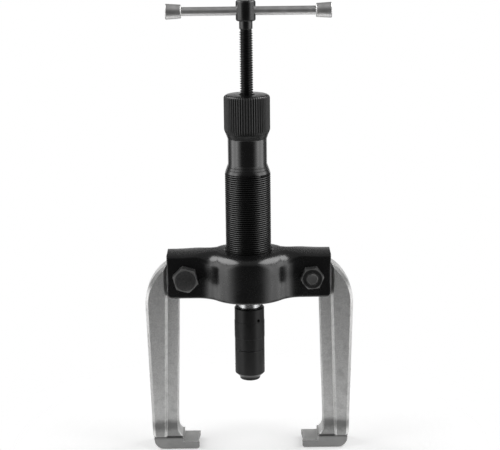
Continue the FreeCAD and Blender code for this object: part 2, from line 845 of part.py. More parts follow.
def ram_seal():
    level = piston_ring_bottom + piston_ring_section / 2
    return ring_of_round_section(main_bore_diameter / 2 + seat_gap, piston_ring_section, level)


def ram_backup_ring():
    bottom = piston_groove_bottom + groove_side_play / 2
    return tube(main_bore_diameter / 2, piston_groove_radius + seat_gap, bottom, bottom + backup_ring_height)


def return_spring():
    """Coil round the rod, its ends ground flat on the gland and the piston."""
    bottom = gland_top
    top = piston_bottom - seat_gap
    radius = spring_mean_diameter / 2
    pitch = (top - bottom) / spring_turns
    helix = Part.makeHelix(pitch, top - bottom, radius)
    section = Part.Wire([Part.makeCircle(spring_wire / 2, on_front(radius, 0), Vector(0, 1, 0))])
    coil = Part.Wire(helix.Edges).makePipeShell([section], True, True).translated(Vector(0, 0, bottom))
    return coil.common(tube(radius + spring_wire, radius - spring_wire, bottom, top))


# ---------------------------------------------------------------- nose pieces
def extension_sleeve():
    outer = sleeve_diameter / 2
    band = sleeve_band_diameter / 2
    band_top = sleeve_top - sleeve_band_start
    band_bottom = band_top - sleeve_band_height
    socket = rod_diameter / 2 + running_fit
    spigot = tip_spigot_diameter / 2 + running_fit
    socket_floor = sleeve_top - sleeve_socket_depth
    spigot_roof = sleeve_bottom + tip_spigot_length + seat_gap
    sleeve = turned([
        (spigot, sleeve_bottom), (outer - joint_chamfer, sleeve_bottom),
        (outer, sleeve_bottom + joint_chamfer),
        (outer, band_bottom), (band, band_bottom + (band - outer)), (band, band_top - (band - outer)),
        (outer, band_top), (outer, sleeve_top - sleeve_top_chamfer), (outer - sleeve_top_chamfer, sleeve_top),
        (socket + sleeve_mouth_chamfer, sleeve_top), (socket, sleeve_top - sleeve_mouth_chamfer),
        (socket, socket_floor), (0, socket_floor), (0, spigot_roof), (spigot, spigot_roof)])
    hole = cylinder_along(
        Vector(1, 0, 0), grub_screw_diameter / 2 + running_fit, Vector(0, 0, grub_screw_level),
        sleeve_diameter)
    return sleeve.cut(hole.rotated(Vector(), Vector(0, 0, 1), grub_screw_azimuth))


def grub_screw():
    """Socket screw whose end enters the groove of the rod."""
    inner = rod_diameter / 2 - rod_groove_depth + seat_gap
    outer = sleeve_diameter / 2 - grub_screw_recess
    level = Vector(inner, 0, grub_screw_level)
    screw = cylinder_along(Vector(1, 0, 0), grub_screw_diameter / 2, level, outer - inner)
    corner = grub_socket_width / math.sqrt(3)
    points = []
    for index in range(6):
        angle = math.radians(60 * index)
        points.append(Vector(outer, corner * math.cos(angle), grub_screw_level + corner * math.sin(angle)))
    socket = polygon_face(points).extrude(Vector(-grub_socket_width, 0, 0))
    return screw.cut(socket).rotated(Vector(), Vector(0, 0, 1), grub_screw_azimuth)


spigot_groove_middle = tip_shoulder + tip_spigot_length / 2
spigot_groove_radius = tip_spigot_diameter / 2 - spigot_ring_section + running_fit


def center_tip():
    outer = sleeve_diameter / 2
    pad = tip_pad_diameter / 2
    spigot = tip_spigot_diameter / 2
    pin = center_pin_diameter / 2 + seat_gap
    groove_half = spigot_ring_section / 2 + groove_side_play / 2
    spigot_top = tip_shoulder + tip_spigot_length
    return turned([
        (pin, tip_bottom), (pad - tip_pad_chamfer, tip_bottom),
        (pad, tip_bottom + tip_pad_chamfer), (pad, tip_pad_top),
        (outer, tip_cone_top), (outer, tip_shoulder - joint_chamfer), (outer - joint_chamfer, tip_shoulder),
        (spigot, tip_shoulder), (spigot, spigot_groove_middle - groove_half),
        (spigot_groove_radius - seat_gap, spigot_groove_middle - groove_half),
        (spigot_groove_radius - seat_gap, spigot_groove_middle + groove_half),
        (spigot, spigot_groove_middle + groove_half), (spigot, spigot_top - tip_spigot_chamfer),
        (spigot - tip_spigot_chamfer, spigot_top), (0, spigot_top),
        (0, tip_bottom + center_pin_length), (pin, tip_bottom + center_pin_length)])


def tip_retaining_ring():
    inner = tip_spigot_diameter / 2 + seat_gap
    return ring_of_round_section(inner, spigot_ring_section, spigot_groove_middle)


def center_pin():
    pin = center_pin_diameter / 2
    top = tip_bottom + center_pin_length - seat_gap
    return turned([
        (0, tip_bottom - center_point_height), (pin, tip_bottom), (pin, top - center_pin_end_chamfer),
        (pin - center_pin_end_chamfer, top), (0, top)])


# ---------------------------------------------------------------- all pieces
right_jaw = jaw()
left_bolt = left_jaw_bolt()
left_nut = left_jaw_nut()
knob = right_knob()
bar_shift = Vector(tommy_bar_offset, 0, 0)

pieces = {
    "yoke": yoke(),
    "jaw_right": right_jaw,
    "jaw_left": half_turned(right_jaw),
    "jaw_bolt_left": left_bolt,
    "jaw_bolt_right": half_turned(left_bolt),
    "jaw_nut_left": left_nut,
    "jaw_nut_right": half_turned(left_nut),
    "hydraulic_body": hydraulic_body(),
    "gland_nut": gland_nut(),
    "rod_wiper": rod_wiper(),
    "pressure_screw": pressure_screw(),
    "thrust_ball": thrust_ball(),
    "plunger": plunger(),
    "plunger_seal": plunger_seal(),
    "plunger_backup_ring": plunger_backup_ring(),
    "tommy_bar": tommy_bar().translated(bar_shift),
    "tommy_knob_right": knob.translated(bar_shift),
    "tommy_knob_left": half_turned(knob).translated(bar_shift),
    "ram": ram(),
    "ram_seal": ram_seal(),
    "ram_backup_ring": ram_backup_ring(),
    "return_spring": return_spring(),
    "extension_sleeve": extension_sleeve(),
    "grub_screw": grub_screw(),
    "center_tip": center_tip(),
    "tip_retaining_ring": tip_retaining_ring(),
    "center_pin": center_pin(),
}

os.makedirs("parts", exist_ok=True)
for name, shape in pieces.items():
    solids = shape.Solids
    print(name, len(solids), "solid", "valid" if shape.isValid() else "INVALID", round(shape.Volume, 1))
    target = solids[0] if len(solids) == 1 else shape
    target.exportStep(f"parts/{name}.step")
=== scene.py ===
import json
import math

import bmesh
import bpy
from mathutils import Matrix, Vector

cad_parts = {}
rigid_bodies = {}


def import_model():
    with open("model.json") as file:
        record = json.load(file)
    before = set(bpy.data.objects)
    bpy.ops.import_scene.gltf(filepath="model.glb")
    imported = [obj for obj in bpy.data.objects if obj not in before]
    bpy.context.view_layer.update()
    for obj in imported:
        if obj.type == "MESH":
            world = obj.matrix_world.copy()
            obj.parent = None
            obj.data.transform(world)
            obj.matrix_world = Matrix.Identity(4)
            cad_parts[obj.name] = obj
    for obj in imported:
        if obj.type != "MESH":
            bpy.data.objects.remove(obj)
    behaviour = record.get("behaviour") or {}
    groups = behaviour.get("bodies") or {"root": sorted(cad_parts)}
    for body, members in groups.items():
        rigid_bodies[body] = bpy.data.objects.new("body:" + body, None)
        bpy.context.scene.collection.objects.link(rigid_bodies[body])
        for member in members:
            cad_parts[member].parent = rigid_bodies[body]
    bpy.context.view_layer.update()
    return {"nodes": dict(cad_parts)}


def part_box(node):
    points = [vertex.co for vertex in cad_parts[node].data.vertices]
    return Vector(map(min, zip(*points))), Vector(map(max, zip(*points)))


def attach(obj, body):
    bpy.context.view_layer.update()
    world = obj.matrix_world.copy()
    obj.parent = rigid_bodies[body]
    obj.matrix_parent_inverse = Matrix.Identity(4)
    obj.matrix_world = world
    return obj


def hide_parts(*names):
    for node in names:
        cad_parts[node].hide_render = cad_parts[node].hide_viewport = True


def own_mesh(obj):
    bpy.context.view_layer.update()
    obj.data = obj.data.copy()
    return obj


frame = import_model()
nodes = frame["nodes"]
mm = 0.001
fullTurn = 2 * math.pi
print("frame loaded:", len(nodes), "nodes")


# mesh helpers

weldReach = 0.001 * mm
sliver = 0.0001 * mm


def weldSeams(bm):
    bmesh.ops.remove_doubles(bm, verts=bm.verts[:], dist=weldReach)
    bmesh.ops.dissolve_degenerate(bm, edges=bm.edges[:], dist=sliver)


def shadeMesh(mesh, sharpAngle=32.0):
    # smooth all over, with the real corners kept sharp
    mesh.shade_smooth()
    mesh.set_sharp_from_angle(angle=math.radians(sharpAngle))


def addObject(name, data):
    thing = bpy.data.objects.new(name, data)
    bpy.context.scene.collection.objects.link(thing)
    return thing


def finishMesh(bm, name, sharpAngle=32.0):
    weldSeams(bm)
    bmesh.ops.recalc_face_normals(bm, faces=bm.faces[:])
    mesh = bpy.data.meshes.new(name)
    bm.to_mesh(mesh)
    bm.free()
    shadeMesh(mesh, sharpAngle)
    return addObject(name, mesh)


def addColumns(bm, columns, seamShift=0):
    # columns run round Z, each a list of (radius, height); they close on the first one,
    # where a thread has climbed by one turn and so meets it seamShift points further on
    count = len(columns)
    rows = []
    for index, column in enumerate(columns):
        angle = fullTurn * index / count
        c, s = math.cos(angle), math.sin(angle)
        rows.append([bm.verts.new((r * c, r * s, z)) for r, z in column])
    for index, here in enumerate(rows):
        there, shift = (rows[0], seamShift) if index == count - 1 else (rows[index + 1], 0)
        for k in range(len(here) - 1):
            if k + 1 + shift < len(there):
                bm.faces.new([here[k], there[k + shift], there[k + 1 + shift], here[k + 1]])


def addPrism(bm, corners, low, high, axis):
    # a flat polygon pushed along Y or Z; corners are (x, z) or (x, y)
    bottom, top = [
        [bm.verts.new((x, level, other) if axis == "Y" else (x, other, level)) for x, other in corners]
        for level in (low, high)]
    bm.faces.new(bottom)
    bm.faces.new(top)
    for k in range(len(corners)):
        n = (k + 1) % len(corners)
        bm.faces.new([bottom[k], bottom[n], top[n], top[k]])


def cutAway(piece, cutters):
    # takes each cutter out of the piece and removes the cutters
    for cutter in cutters:
        cut = piece.modifiers.new(cutter.name, "BOOLEAN")
        cut.object = cutter
        cut.solver = "EXACT"
    depsgraph = bpy.context.evaluated_depsgraph_get()
    mesh = bpy.data.meshes.new_from_object(piece.evaluated_get(depsgraph))
    piece.modifiers.clear()
    piece.data = mesh
    for cutter in cutters:
        bpy.data.objects.remove(cutter)
    bm = bmesh.new()
    bm.from_mesh(mesh)
    weldSeams(bm)
    bm.to_mesh(mesh)
    bm.free()
    shadeMesh(mesh)


def roundedCorner(before, corner, after, radius, steps=5):
    # points of a fillet between two straight runs of a profile
    a, b, c = Vector(before), Vector(corner), Vector(after)
    u, v = (a - b).normalized(), (c - b).normalized()
    half = u.angle(v) / 2
    reach = radius / math.tan(half)
    middle = b + (u + v).normalized() * (radius / math.sin(half))
    start, end = (b + u * reach - middle).normalized(), (b + v * reach - middle).normalized()
    points = [middle + start.slerp(end, k / steps) * radius for k in range(steps + 1)]
    return [(p.x, p.y) for p in points]


def softProfile(points):
    # points are (radius, height) or (radius, height, fillet)
    out = []
    for index, point in enumerate(points):
        fillet = point[2] if len(point) > 2 else 0
        if fillet:
            before, after = points[index - 1], points[(index + 1) % len(points)]
            out += roundedCorner(before[:2], point[:2], after[:2], fillet)
        else:
            out.append(point[:2])
    return out


def smoothShare(value, low, high):
    share = min(1.0, max(0.0, (value - low) / (high - low)))
    return share * share * (3 - 2 * share)


def threadColumns(thread, low, high, segments):
    # one column per step round the shaft, its points riding up the helix; the thread dies out at both ends
    crest, depth, pitch = thread["diameter"] / 2, thread["depth"], thread["pitch"]
    turns = math.ceil((high - low) / pitch) + 1
    columns = []
    for index in range(segments):
        column = []
        for turn in range(-1, turns + 1):
            for share, drop in thread["shape"]:
                z = low + (turn + share + index / segments) * pitch
                full = smoothShare(min((z - low) / thread["runIn"], (high - z) / thread["runOut"]), 0, 1)
                base = crest - thread["endDrop"] * (1 - full)
                column.append((base - depth * drop * full, min(high, max(low, z))))
        columns.append(column)
    return columns


# spindle body: fine thread, neck and knurled head over the CAD cylinder
# a thread's shape is a list of (share of the pitch, share of the depth)

bodyLow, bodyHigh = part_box("hydraulic_body")
spindleBody = {
    "thread": {
        "diameter": 38.1 * mm, "pitch": 1.75 * mm, "depth": 0.9 * mm, "endDrop": 0.9 * mm,
        "runIn": 1.6 * mm, "runOut": 0.6 * mm,
        "shape": [(0.0, 0.0), (0.28, 0.0), (0.36, 0.12), (0.56, 0.96), (0.64, 1.0), (0.72, 0.96), (0.92, 0.12)],
    },
    "threadLength": 103.9 * mm, "lowerCone": 7.8 * mm,
    "neckRadius": 16.3 * mm, "neckLength": 21.1 * mm,
    "upperCone": 7.6 * mm, "headRadius": 19.1 * mm, "rimRadius": 2.8 * mm,
    "fluteCount": 60, "fluteDepth": 0.40 * mm, "fluteRoundness": 0.7,
    "fluteStart": ((0.2 * mm, 0.0), (0.8 * mm, 0.8)),  # height above the ringed part, share of their depth
    "fluteFade": 5.5,  # rows of the rim over which they run out again
    "headBand": 0.6 * mm,  # first row of points above the upper cone
    "lineDepth": 0.38 * mm, "lineWidth": 0.8 * mm,
    "lowerLines": (0.40, 0.74),  # share of each cone's height
    "upperLines": (0.22, 0.48, 0.90),
    "ringedPart": 4.9 * mm,  # plain turned part of the upper cone
    "lipInset": 0.15 * mm,  # the lower cone starts this far inside the thread's crest
    "lipHeight": 0.25 * mm,
    "neckStep": 0.12 * mm,  # and ends this far outside the neck
    "edgeBand": 0.35 * mm,
    "polishedRim": 0.35,  # share of the rim that the dull flutes leave free
    # painted highlight: faces this near to a crest and no steeper get a lighter oxide colour
    "crestShare": 0.4, "crestTilt": 0.3,  # faces this near to a crest and no steeper are bright
    "glandRadius": 15.05 * mm, "glandHeight": 12.4 * mm,
    "boreRadius": 14.05 * mm, "boreLength": 75.5 * mm,
    "pumpRadius": 6.05 * mm, "pumpLength": 64.0 * mm,
    "screwRadius": 5.45 * mm, "mouthDepth": 0.8 * mm, "mouthFlare": 1.3 * mm,
    "threadSteps": 96, "stepsPerFlute": 8, "headRows": 8,
    "coarseEdge": 0.8 * mm,  # open edges longer than this belong to the thread
    "seamReach": 0.04 * mm,
    "sharpAngle": 28.0,
}


def groovedCone(rLow, zLow, rHigh, zHigh, shares, depth, width):
    # a cone with narrow turned lines across it
    points = [(rLow, zLow)]
    for share in shares:
        middle = zLow + (zHigh - zLow) * share
        for offset, drop in ((-width / 2, 0), (-width / 5, depth), (width / 5, depth), (width / 2, 0)):
            z = middle + offset
            r = rLow + (rHigh - rLow) * (z - zLow) / (zHigh - zLow)
            points.append((r - drop, z))
    points.append((rHigh, zHigh))
    return points


def makeSpindleBody():
    s = spindleBody
    low, high = bodyLow.z, bodyHigh.z
    crest, neck, rim, edge = s["thread"]["diameter"] / 2, s["neckRadius"], s["rimRadius"], s["edgeBand"]
    root = crest - s["thread"]["endDrop"]
    threadTop = low + s["threadLength"]
    neckLow = threadTop + s["lowerCone"]
    neckHigh = neckLow + s["neckLength"]
    ringTop = neckHigh + s["ringedPart"]
    headLow = neckHigh + s["upperCone"]

    def coneRadius(z):
        return neck + (s["headRadius"] - neck) * (z - neckHigh) / (headLow - neckHigh)

    def outerRadius(z):
        if z < headLow:
            return coneRadius(z)
        if z > high - rim:
            rise = z - (high - rim)
            return s["headRadius"] - rim + math.sqrt(max(0.0, rim * rim - rise * rise))
        return s["headRadius"]

    lipRadius, lip = crest - s["lipInset"], s["lipHeight"]
    plain = [(root, threadTop), (lipRadius, threadTop + lip)]
    plain += groovedCone(lipRadius, threadTop + 2 * lip, neck + s["neckStep"], neckLow - edge,
                         s["lowerLines"], s["lineDepth"], s["lineWidth"])
    plain += [(neck, neckLow), (neck, neckLow + edge), (neck, neckHigh - edge)]
    plain += groovedCone(neck, neckHigh, coneRadius(ringTop), ringTop,
                         s["upperLines"], s["lineDepth"], s["lineWidth"])

    # flutes are (height, share of their depth)
    firstRow, rows = headLow + s["headBand"], s["headRows"]
    flutes = [(ringTop + rise, share) for rise, share in s["fluteStart"]] + [(headLow, 1.0), (firstRow, 1.0)]
    for k in range(rows + 1):
        flutes.append((firstRow + (high - rim - firstRow) * k / rows, 1.0))
    for k in range(1, rows + 1):
        angle = math.pi / 2 * k / rows
        flutes.append((high - rim + rim * math.sin(angle), max(0.0, 1 - (k / s["fluteFade"]) ** 2)))

    # the inside, from the mouth down: pump bore, ram bore and the seat of the gland nut
    glandTop = low + s["glandHeight"]
    boreTop = glandTop + s["boreLength"]
    pumpTop = boreTop + s["pumpLength"]
    inner = [
        (s["screwRadius"] + s["mouthFlare"], high), (s["screwRadius"], high - s["mouthDepth"]),
        (s["screwRadius"], pumpTop), (s["pumpRadius"], pumpTop), (s["pumpRadius"], boreTop),
        (s["boreRadius"], boreTop), (s["boreRadius"], glandTop), (s["glandRadius"], glandTop),
        (s["glandRadius"], low)]

    bm = bmesh.new()
    addColumns(bm, threadColumns(s["thread"], low, threadTop, s["threadSteps"]), len(s["thread"]["shape"]))
    segments = s["fluteCount"] * s["stepsPerFlute"]
    columns = []
    for index in range(segments):
        wave = 0.5 - 0.5 * math.cos(fullTurn * s["fluteCount"] * index / segments)
        groove = s["fluteDepth"] * wave ** s["fluteRoundness"]
        columns.append(plain + [(outerRadius(z) - groove * share, z) for z, share in flutes] + inner)
    addColumns(bm, columns)
    addColumns(bm, [[(s["glandRadius"], low), (root, low)]] * s["threadSteps"])
    # the thread and the head have different steps round the axis, so their shared rings get the same points
    bmesh.ops.remove_doubles(bm, verts=bm.verts[:], dist=weldReach)
    coarse = [e for e in bm.edges if e.is_boundary and e.calc_length() > s["coarseEdge"]]
    bmesh.ops.subdivide_edges(bm, edges=coarse, cuts=segments // s["threadSteps"] - 1)
    bmesh.ops.remove_doubles(bm, verts=[v for v in bm.verts if v.is_boundary], dist=s["seamReach"])
    body = finishMesh(bm, "spindle_body", s["sharpAngle"])
    # painted highlight on the thread's crests and painted shade in its grooves come from the colours of their
    # finishes
    for face in body.data.polygons:  # 0 polished, 1 thread crest, 2 dull on the flutes, 3 thread groove
        z, r = face.center.z, math.hypot(face.center.x, face.center.y)
        if z < threadTop:
            isCrest = abs(face.normal.z) < s["crestTilt"] and r > crest - s["crestShare"] * s["thread"]["depth"]
            face.material_index = 1 if isCrest else 3
        elif ringTop < z < high - s["polishedRim"] * rim and r > neck:
            face.material_index = 2
    return body


body = makeSpindleBody()
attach(body, "hydraulic_body")
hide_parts("hydraulic_body")
print("spindle body:", len(body.data.polygons), "faces")


# pressure screw: trapezoidal thread, collar and cross-drilled hub

screwLow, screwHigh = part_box("pressure_screw")
barLow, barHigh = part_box("tommy_bar")
pressureScrew = {
    "thread": {
        "diameter": 10.8 * mm, "pitch": 2.0 * mm, "depth": 0.95 * mm, "endDrop": 0.95 * mm,
        "runIn": 2.0 * mm, "runOut": 2.0 * mm,
        "shape": [(0.0, 0.0), (0.30, 0.0), (0.48, 1.0), (0.82, 1.0)],
    },
    "collarRadius": 5.5 * mm, "collarHeight": 6.6 * mm, "collarBevel": (0.4 * mm, 0.5 * mm),
    "hubRadius": 8.15 * mm, "hubHeight": 16.7 * mm, "edge": 1.6 * mm,
    "barPlay": 0.05 * mm,  # between the bar and its hole in the hub
    "ballGap": 0.03 * mm,  # between the ball and its seat in the screw
    "steps": 64, "holeSteps": 48, "seatSteps": 6,
}


def makePressureScrew():
    s = pressureScrew
    low, high = screwLow.z, screwHigh.z
    hubLow = high - s["hubHeight"]
    collarLow = hubLow - s["collarHeight"]
    root = s["thread"]["diameter"] / 2 - s["thread"]["endDrop"]
    bevelIn, bevelUp = s["collarBevel"]
    top = softProfile([
        (root, collarLow), (s["collarRadius"] - bevelIn, collarLow), (s["collarRadius"], collarLow + bevelUp),
        (s["collarRadius"], hubLow), (s["hubRadius"], hubLow, s["edge"]), (s["hubRadius"], high, s["edge"]),
        (0, high)])
    ballLow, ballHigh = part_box("thrust_ball")
    cup, crown = (ballHigh.z - ballLow.z) / 2 + s["ballGap"], ballHigh.z + s["ballGap"]
    opening = math.acos(1 - (crown - low) / cup)
    turns = [opening * k / s["seatSteps"] for k in range(s["seatSteps"] + 1)]
    seat = [(cup * math.sin(turn), crown - cup * (1 - math.cos(turn))) for turn in turns] + [(root, low)]
    bm = bmesh.new()
    addColumns(bm, threadColumns(s["thread"], low, collarLow, s["steps"]), len(s["thread"]["shape"]))
    addColumns(bm, [top] * s["steps"])
    addColumns(bm, [seat] * s["steps"])
    screw = finishMesh(bm, "pump_screw")

    hole, level = (barHigh.z - barLow.z) / 2 + s["barPlay"], (barLow.z + barHigh.z) / 2
    bm = bmesh.new()
    bmesh.ops.create_cone(bm, cap_ends=True, segments=s["holeSteps"], radius1=hole, radius2=hole,
                          depth=4 * s["hubRadius"],
                          matrix=Matrix.Translation((0, 0, level)) @ Matrix.Rotation(math.pi / 2, 4, "Y"))
    cutAway(screw, [finishMesh(bm, "cross_hole_cutter")])
    for face in screw.data.polygons:  # the thread is duller than the collar and hub
        face.material_index = 1 if face.center.z < collarLow else 0
    return screw


screw = makePressureScrew()
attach(screw, "pressure_screw")
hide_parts("pressure_screw")
print("pressure screw:", len(screw.data.polygons), "faces")


# yoke: a ring with a wing each side, drawn as a row of sections along X

yokeLow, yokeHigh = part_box("yoke")
pivotLow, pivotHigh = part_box("jaw_bolt_right")
pivot = (pivotLow + pivotHigh) / 2
yokeForging = {
    "wingHalfDepth": 14.0 * mm,
    "blendRadius": 22.0 * mm,  # hollow between the ring and a wing
    "wingEdge": 2.8 * mm, "frontEdge": 5.5 * mm,
    "ringEdge": 10.0 * mm,  # upper edge of the ring where it turns to the side
    "frontReach": (6.0 * mm, 22.0 * mm),  # the front edge grows to the ring's large one between these
    "ringEdgeReach": (30.0 * mm, 46.0 * mm),  # and that one fades to the wing's between these
    "lowerEdge": 1.6 * mm,
    "crown": (0.32 * mm, 0.6 * mm),  # fall of the top from its middle to the front, on the ring and a wing
    "crownReach": (30.0 * mm, 44.0 * mm),
    "rise": (2.4 * mm, 0.8 * mm),  # the top climbs from the end of a wing to the ring
    "riseReach": (26.0 * mm, 64.0 * mm),
    "endWaist": 0.7 * mm, "endLowerEdge": 5.2 * mm, "endUpperEdge": 1.0 * mm, "cornerEdge": 0.7 * mm,
    "endZone": 9.0 * mm,  # the end's shape is spread over this length
    "bore": 19.1 * mm, "upperChamfer": 1.8 * mm, "lowerChamfer": 1.0 * mm,
    "slotStart": 40.1 * mm, "slotHalf": 7.3 * mm, "slotRoof": 4.8 * mm,
    "slotCorner": 7.0 * mm, "slotMouth": 2.0 * mm,
    "pinHole": 6.05 * mm,
    "ringRows": (60, 0.75 * mm),  # number and spacing of the sections over the ring
    "wingRow": 1.5 * mm,
    "lastRow": 3.0 * mm,  # the wing's spacing ends this far before its end
    "lowerSteps": 6, "wallSteps": 8, "edgeSteps": 12, "topSteps": 5,
    "wallCrowding": 1.5,  # above 1 the wall's points stand closer towards the underside
    "cornerSteps": 8, "boreSteps": 96, "holeSteps": 48,
    "cutOver": 1.0 * mm,  # the bore's cutter stands out this far
}


def yokePlan(x):
    # half depth of the plan at x, and how squarely its edge faces the front
    y = yokeForging
    ring, blend, wing = yokeHigh.y, y["blendRadius"], y["wingHalfDepth"]
    middle = wing + blend
    blendX = math.sqrt((ring + blend) ** 2 - middle ** 2)
    x = abs(x)
    if x <= blendX * ring / (ring + blend):
        depth = math.sqrt(ring * ring - x * x)
        return depth, depth / ring
    if x < blendX:
        depth = middle - math.sqrt(blend * blend - (blendX - x) ** 2)
        return depth, (middle - depth) / blend
    inset = max(0.0, y["cornerEdge"] - (yokeHigh.x - x))
    return wing - y["cornerEdge"] + math.sqrt(y["cornerEdge"] ** 2 - inset ** 2), 1.0


def yokeTop(x):
    # height of the top, which climbs from the end of a wing to the ring
    inner, outer = yokeForging["rise"]
    return yokeHigh.z + inner + (outer - inner) * smoothShare(abs(x), *yokeForging["riseReach"])


def yokeSection(x):
    # front half of the section at x, from the middle of the underside to the middle of the top
    y = yokeForging
    depth, square = yokePlan(x)
    low, high = yokeLow.z, yokeTop(x)
    edge = y["frontEdge"] + (y["ringEdge"] - y["frontEdge"]) * smoothShare(abs(x), *y["frontReach"])
    edge += (y["wingEdge"] - edge) * smoothShare(abs(x), *y["ringEdgeReach"])
    crown = y["crown"][0] + (y["crown"][1] - y["crown"][0]) * smoothShare(abs(x), *y["crownReach"])
    lower = y["lowerEdge"]

    def fall(across):
        return crown * (across / y["wingHalfDepth"]) ** 2

    points = [(0, low), ((depth - lower / square) * 0.5, low)]
    for k in range(y["lowerSteps"] + 1):
        turn = math.pi / 2 * k / y["lowerSteps"]
        points.append((depth - lower / square * (1 - math.sin(turn)), low + lower * (1 - math.cos(turn))))
    wallLow, wallHigh = low + lower, high - fall(depth) - edge
    for k in range(1, y["wallSteps"]):
        points.append((depth, wallLow + (wallHigh - wallLow) * (k / y["wallSteps"]) ** y["wallCrowding"]))
    for k in range(y["edgeSteps"] + 1):
        turn = math.pi / 2 * k / y["edgeSteps"]
        across = depth - edge / square * (1 - math.cos(turn))
        points.append((across, high - fall(across) - edge * (1 - math.sin(turn))))
    for k in range(1, y["topSteps"]):
        across = (depth - edge / square) * (1 - k / y["topSteps"])
        points.append((across, high - fall(across)))
    return points + [(0, high)]


def yokeEnd(z, top):
    # how far the end of a wing stands back from its full reach at this height
    y = yokeForging
    half = (top - yokeLow.z) / 2
    back = y["endWaist"] * (1 - ((z - yokeLow.z - half) / half) ** 2)
    for edge, gap in ((y["endLowerEdge"], z - yokeLow.z), (y["endUpperEdge"], top - z)):
        if gap < edge:
            back += edge - math.sqrt(edge * edge - (edge - gap) ** 2)
    return back


def yokeRows():
    # places of the sections along X
    y = yokeForging
    count, gap = y["ringRows"]
    rows = [k * gap for k in range(count)]
    while rows[-1] < yokeHigh.x - y["lastRow"]:
        rows.append(rows[-1] + y["wingRow"])
    rows += [yokeHigh.x - y["cornerEdge"] * share for share in (1.0, 0.5, 0.2, 0.0)]
    return [-x for x in reversed(rows[1:])] + rows


def makeYokeBlank():
    # the whole forging before its bore, slots and pin holes
    y = yokeForging
    bm = bmesh.new()
    columns = []
    for x in yokeRows():
        front, back = [], []
        share = max(0.0, (abs(x) - yokeHigh.x + y["endZone"]) / y["endZone"])
        for across, z in yokeSection(x):
            placeX = x - math.copysign(yokeEnd(z, yokeTop(x)) * share, x)
            front.append(bm.verts.new((placeX, -across, z)))
            back.append(front[-1] if across == 0 else bm.verts.new((placeX, across, z)))
        columns.append((front, back))
    for here, there in zip(columns, columns[1:]):
        for side in (0, 1):
            for k in range(len(here[side]) - 1):
                bm.faces.new([here[side][k], there[side][k], there[side][k + 1], here[side][k + 1]])
    for front, back in (columns[0], columns[-1]):
        for k in range(len(front) - 1):
            corners = [front[k], front[k + 1], back[k + 1], back[k]]
            bm.faces.new([v for n, v in enumerate(corners) if v not in corners[:n]])
    return finishMesh(bm, "yoke_forging")


def makeYoke():
    forging = makeYokeBlank()
    y = yokeForging
    wing, reach, over = y["wingHalfDepth"], yokeHigh.x, y["cutOver"]
    low, high = yokeLow.z, yokeTop(0)
    bore, upper, lower = y["bore"], y["upperChamfer"], y["lowerChamfer"]
    boreProfile = [
        (0, low - over), (bore + lower + over, low - over), (bore, low + lower), (bore, high - upper),
        (bore + upper + over, high + over), (0, high + over)]
    bores, slots, mouths, holes = bmesh.new(), bmesh.new(), bmesh.new(), bmesh.new()
    addColumns(bores, [boreProfile] * y["boreSteps"])

    roof, start, outer, half = yokeHigh.z - y["slotRoof"], y["slotStart"], reach + 2 * wing, y["slotHalf"]
    corner = roundedCorner((start, low), (start, roof), (outer, roof), y["slotCorner"], y["cornerSteps"])
    slotPlan = [(start, low - wing), *corner, (outer, roof), (outer, low - wing)]
    mouth = reach - y["slotMouth"]
    wide = half + outer - mouth
    mouthPlan = [(mouth, -half), (outer, -wide), (outer, wide), (mouth, half)]
    turns = [fullTurn * k / y["holeSteps"] for k in range(y["holeSteps"])]
    hole = [(pivot.x + y["pinHole"] * math.cos(turn), pivot.z + y["pinHole"] * math.sin(turn)) for turn in turns]
    for side in (1, -1):
        addPrism(slots, [(side * x, z) for x, z in slotPlan], -half, half, "Y")
        addPrism(mouths, [(side * x, across) for x, across in mouthPlan], low - wing, roof, "Z")
        addPrism(holes, [(side * x, z) for x, z in hole], -2 * wing, 2 * wing, "Y")
    cutAway(forging, [finishMesh(bores, "bore_cutter"), finishMesh(slots, "slot_cutter"),
                      finishMesh(mouths, "mouth_cutter"), finishMesh(holes, "pin_hole_cutter")])
    return forging


# shoulder bolts and nuts at the jaw pivots, built upright and laid over to point forward

jawBolt = {
    "segments": 96,
    "hexWidth": 19.0 * mm, "face": 17.2 * mm, "headHeight": 10.0 * mm, "turn": 45.0,
    "shank": 6.0 * mm,
    "thread": {
        "diameter": 10.0 * mm, "pitch": 1.5 * mm, "depth": 0.85 * mm, "endDrop": 0.95 * mm,
        "runIn": 1.3 * mm, "runOut": 0.8 * mm,
        "shape": [(0.0, 0.0), (0.20, 0.0), (0.50, 1.0), (0.70, 1.0)],
    },
    "endDish": 0.25 * mm,
    "dishEdge": (0.8 * mm, 0.3 * mm),  # its slope lies between these distances inside the thread's root
}
jawNut = {
    "segments": 96,
    "hexWidth": 17.0 * mm, "face": 16.1 * mm, "height": 8.6 * mm, "turn": 6.0,
    "hole": 5.05 * mm, "countersink": 0.7 * mm,
}
hexSeat = {"share": 0.96, "height": 0.4 * mm, "chamfer": 30.0, "gap": 0.03 * mm}
steepFacing, flatFacing = 0.5, 0.97  # a chamfer faces up by more than the first, a flat by the second


def hexProfile(part, angle, low, high):
    # outside of a hexagon at this angle: washer seat below, chamfered face above
    half = part["hexWidth"] / 2
    radius = half / math.cos((angle + math.pi / 6) % (math.pi / 3) - math.pi / 6)
    drop = (radius - part["face"] / 2) * math.tan(math.radians(hexSeat["chamfer"]))
    seat, foot = half * hexSeat["share"], low + hexSeat["height"]
    return [(seat, low), (seat, foot), (radius, foot), (radius, high - drop), (part["face"] / 2, high)]


def markChamfers(piece, seat):
    # the bare chamfers take the second material
    for face in piece.data.polygons:
        if face.center.z > seat + hexSeat["height"] and steepFacing < face.normal.z < flatFacing:
            face.material_index = 1


def layForward(piece, turn, side, forward):
    # turns the upright piece about its axis and lays it at the pivot of one side, top forward or back
    place = Matrix.Rotation(math.pi / 2, 4, "X") @ Matrix.Rotation(math.radians(turn), 4, "Z")
    if not forward:
        place = Matrix.Rotation(math.pi, 4, "Z") @ place
    piece.data.transform(Matrix.Translation((side * pivot.x, 0, pivot.z)) @ place)


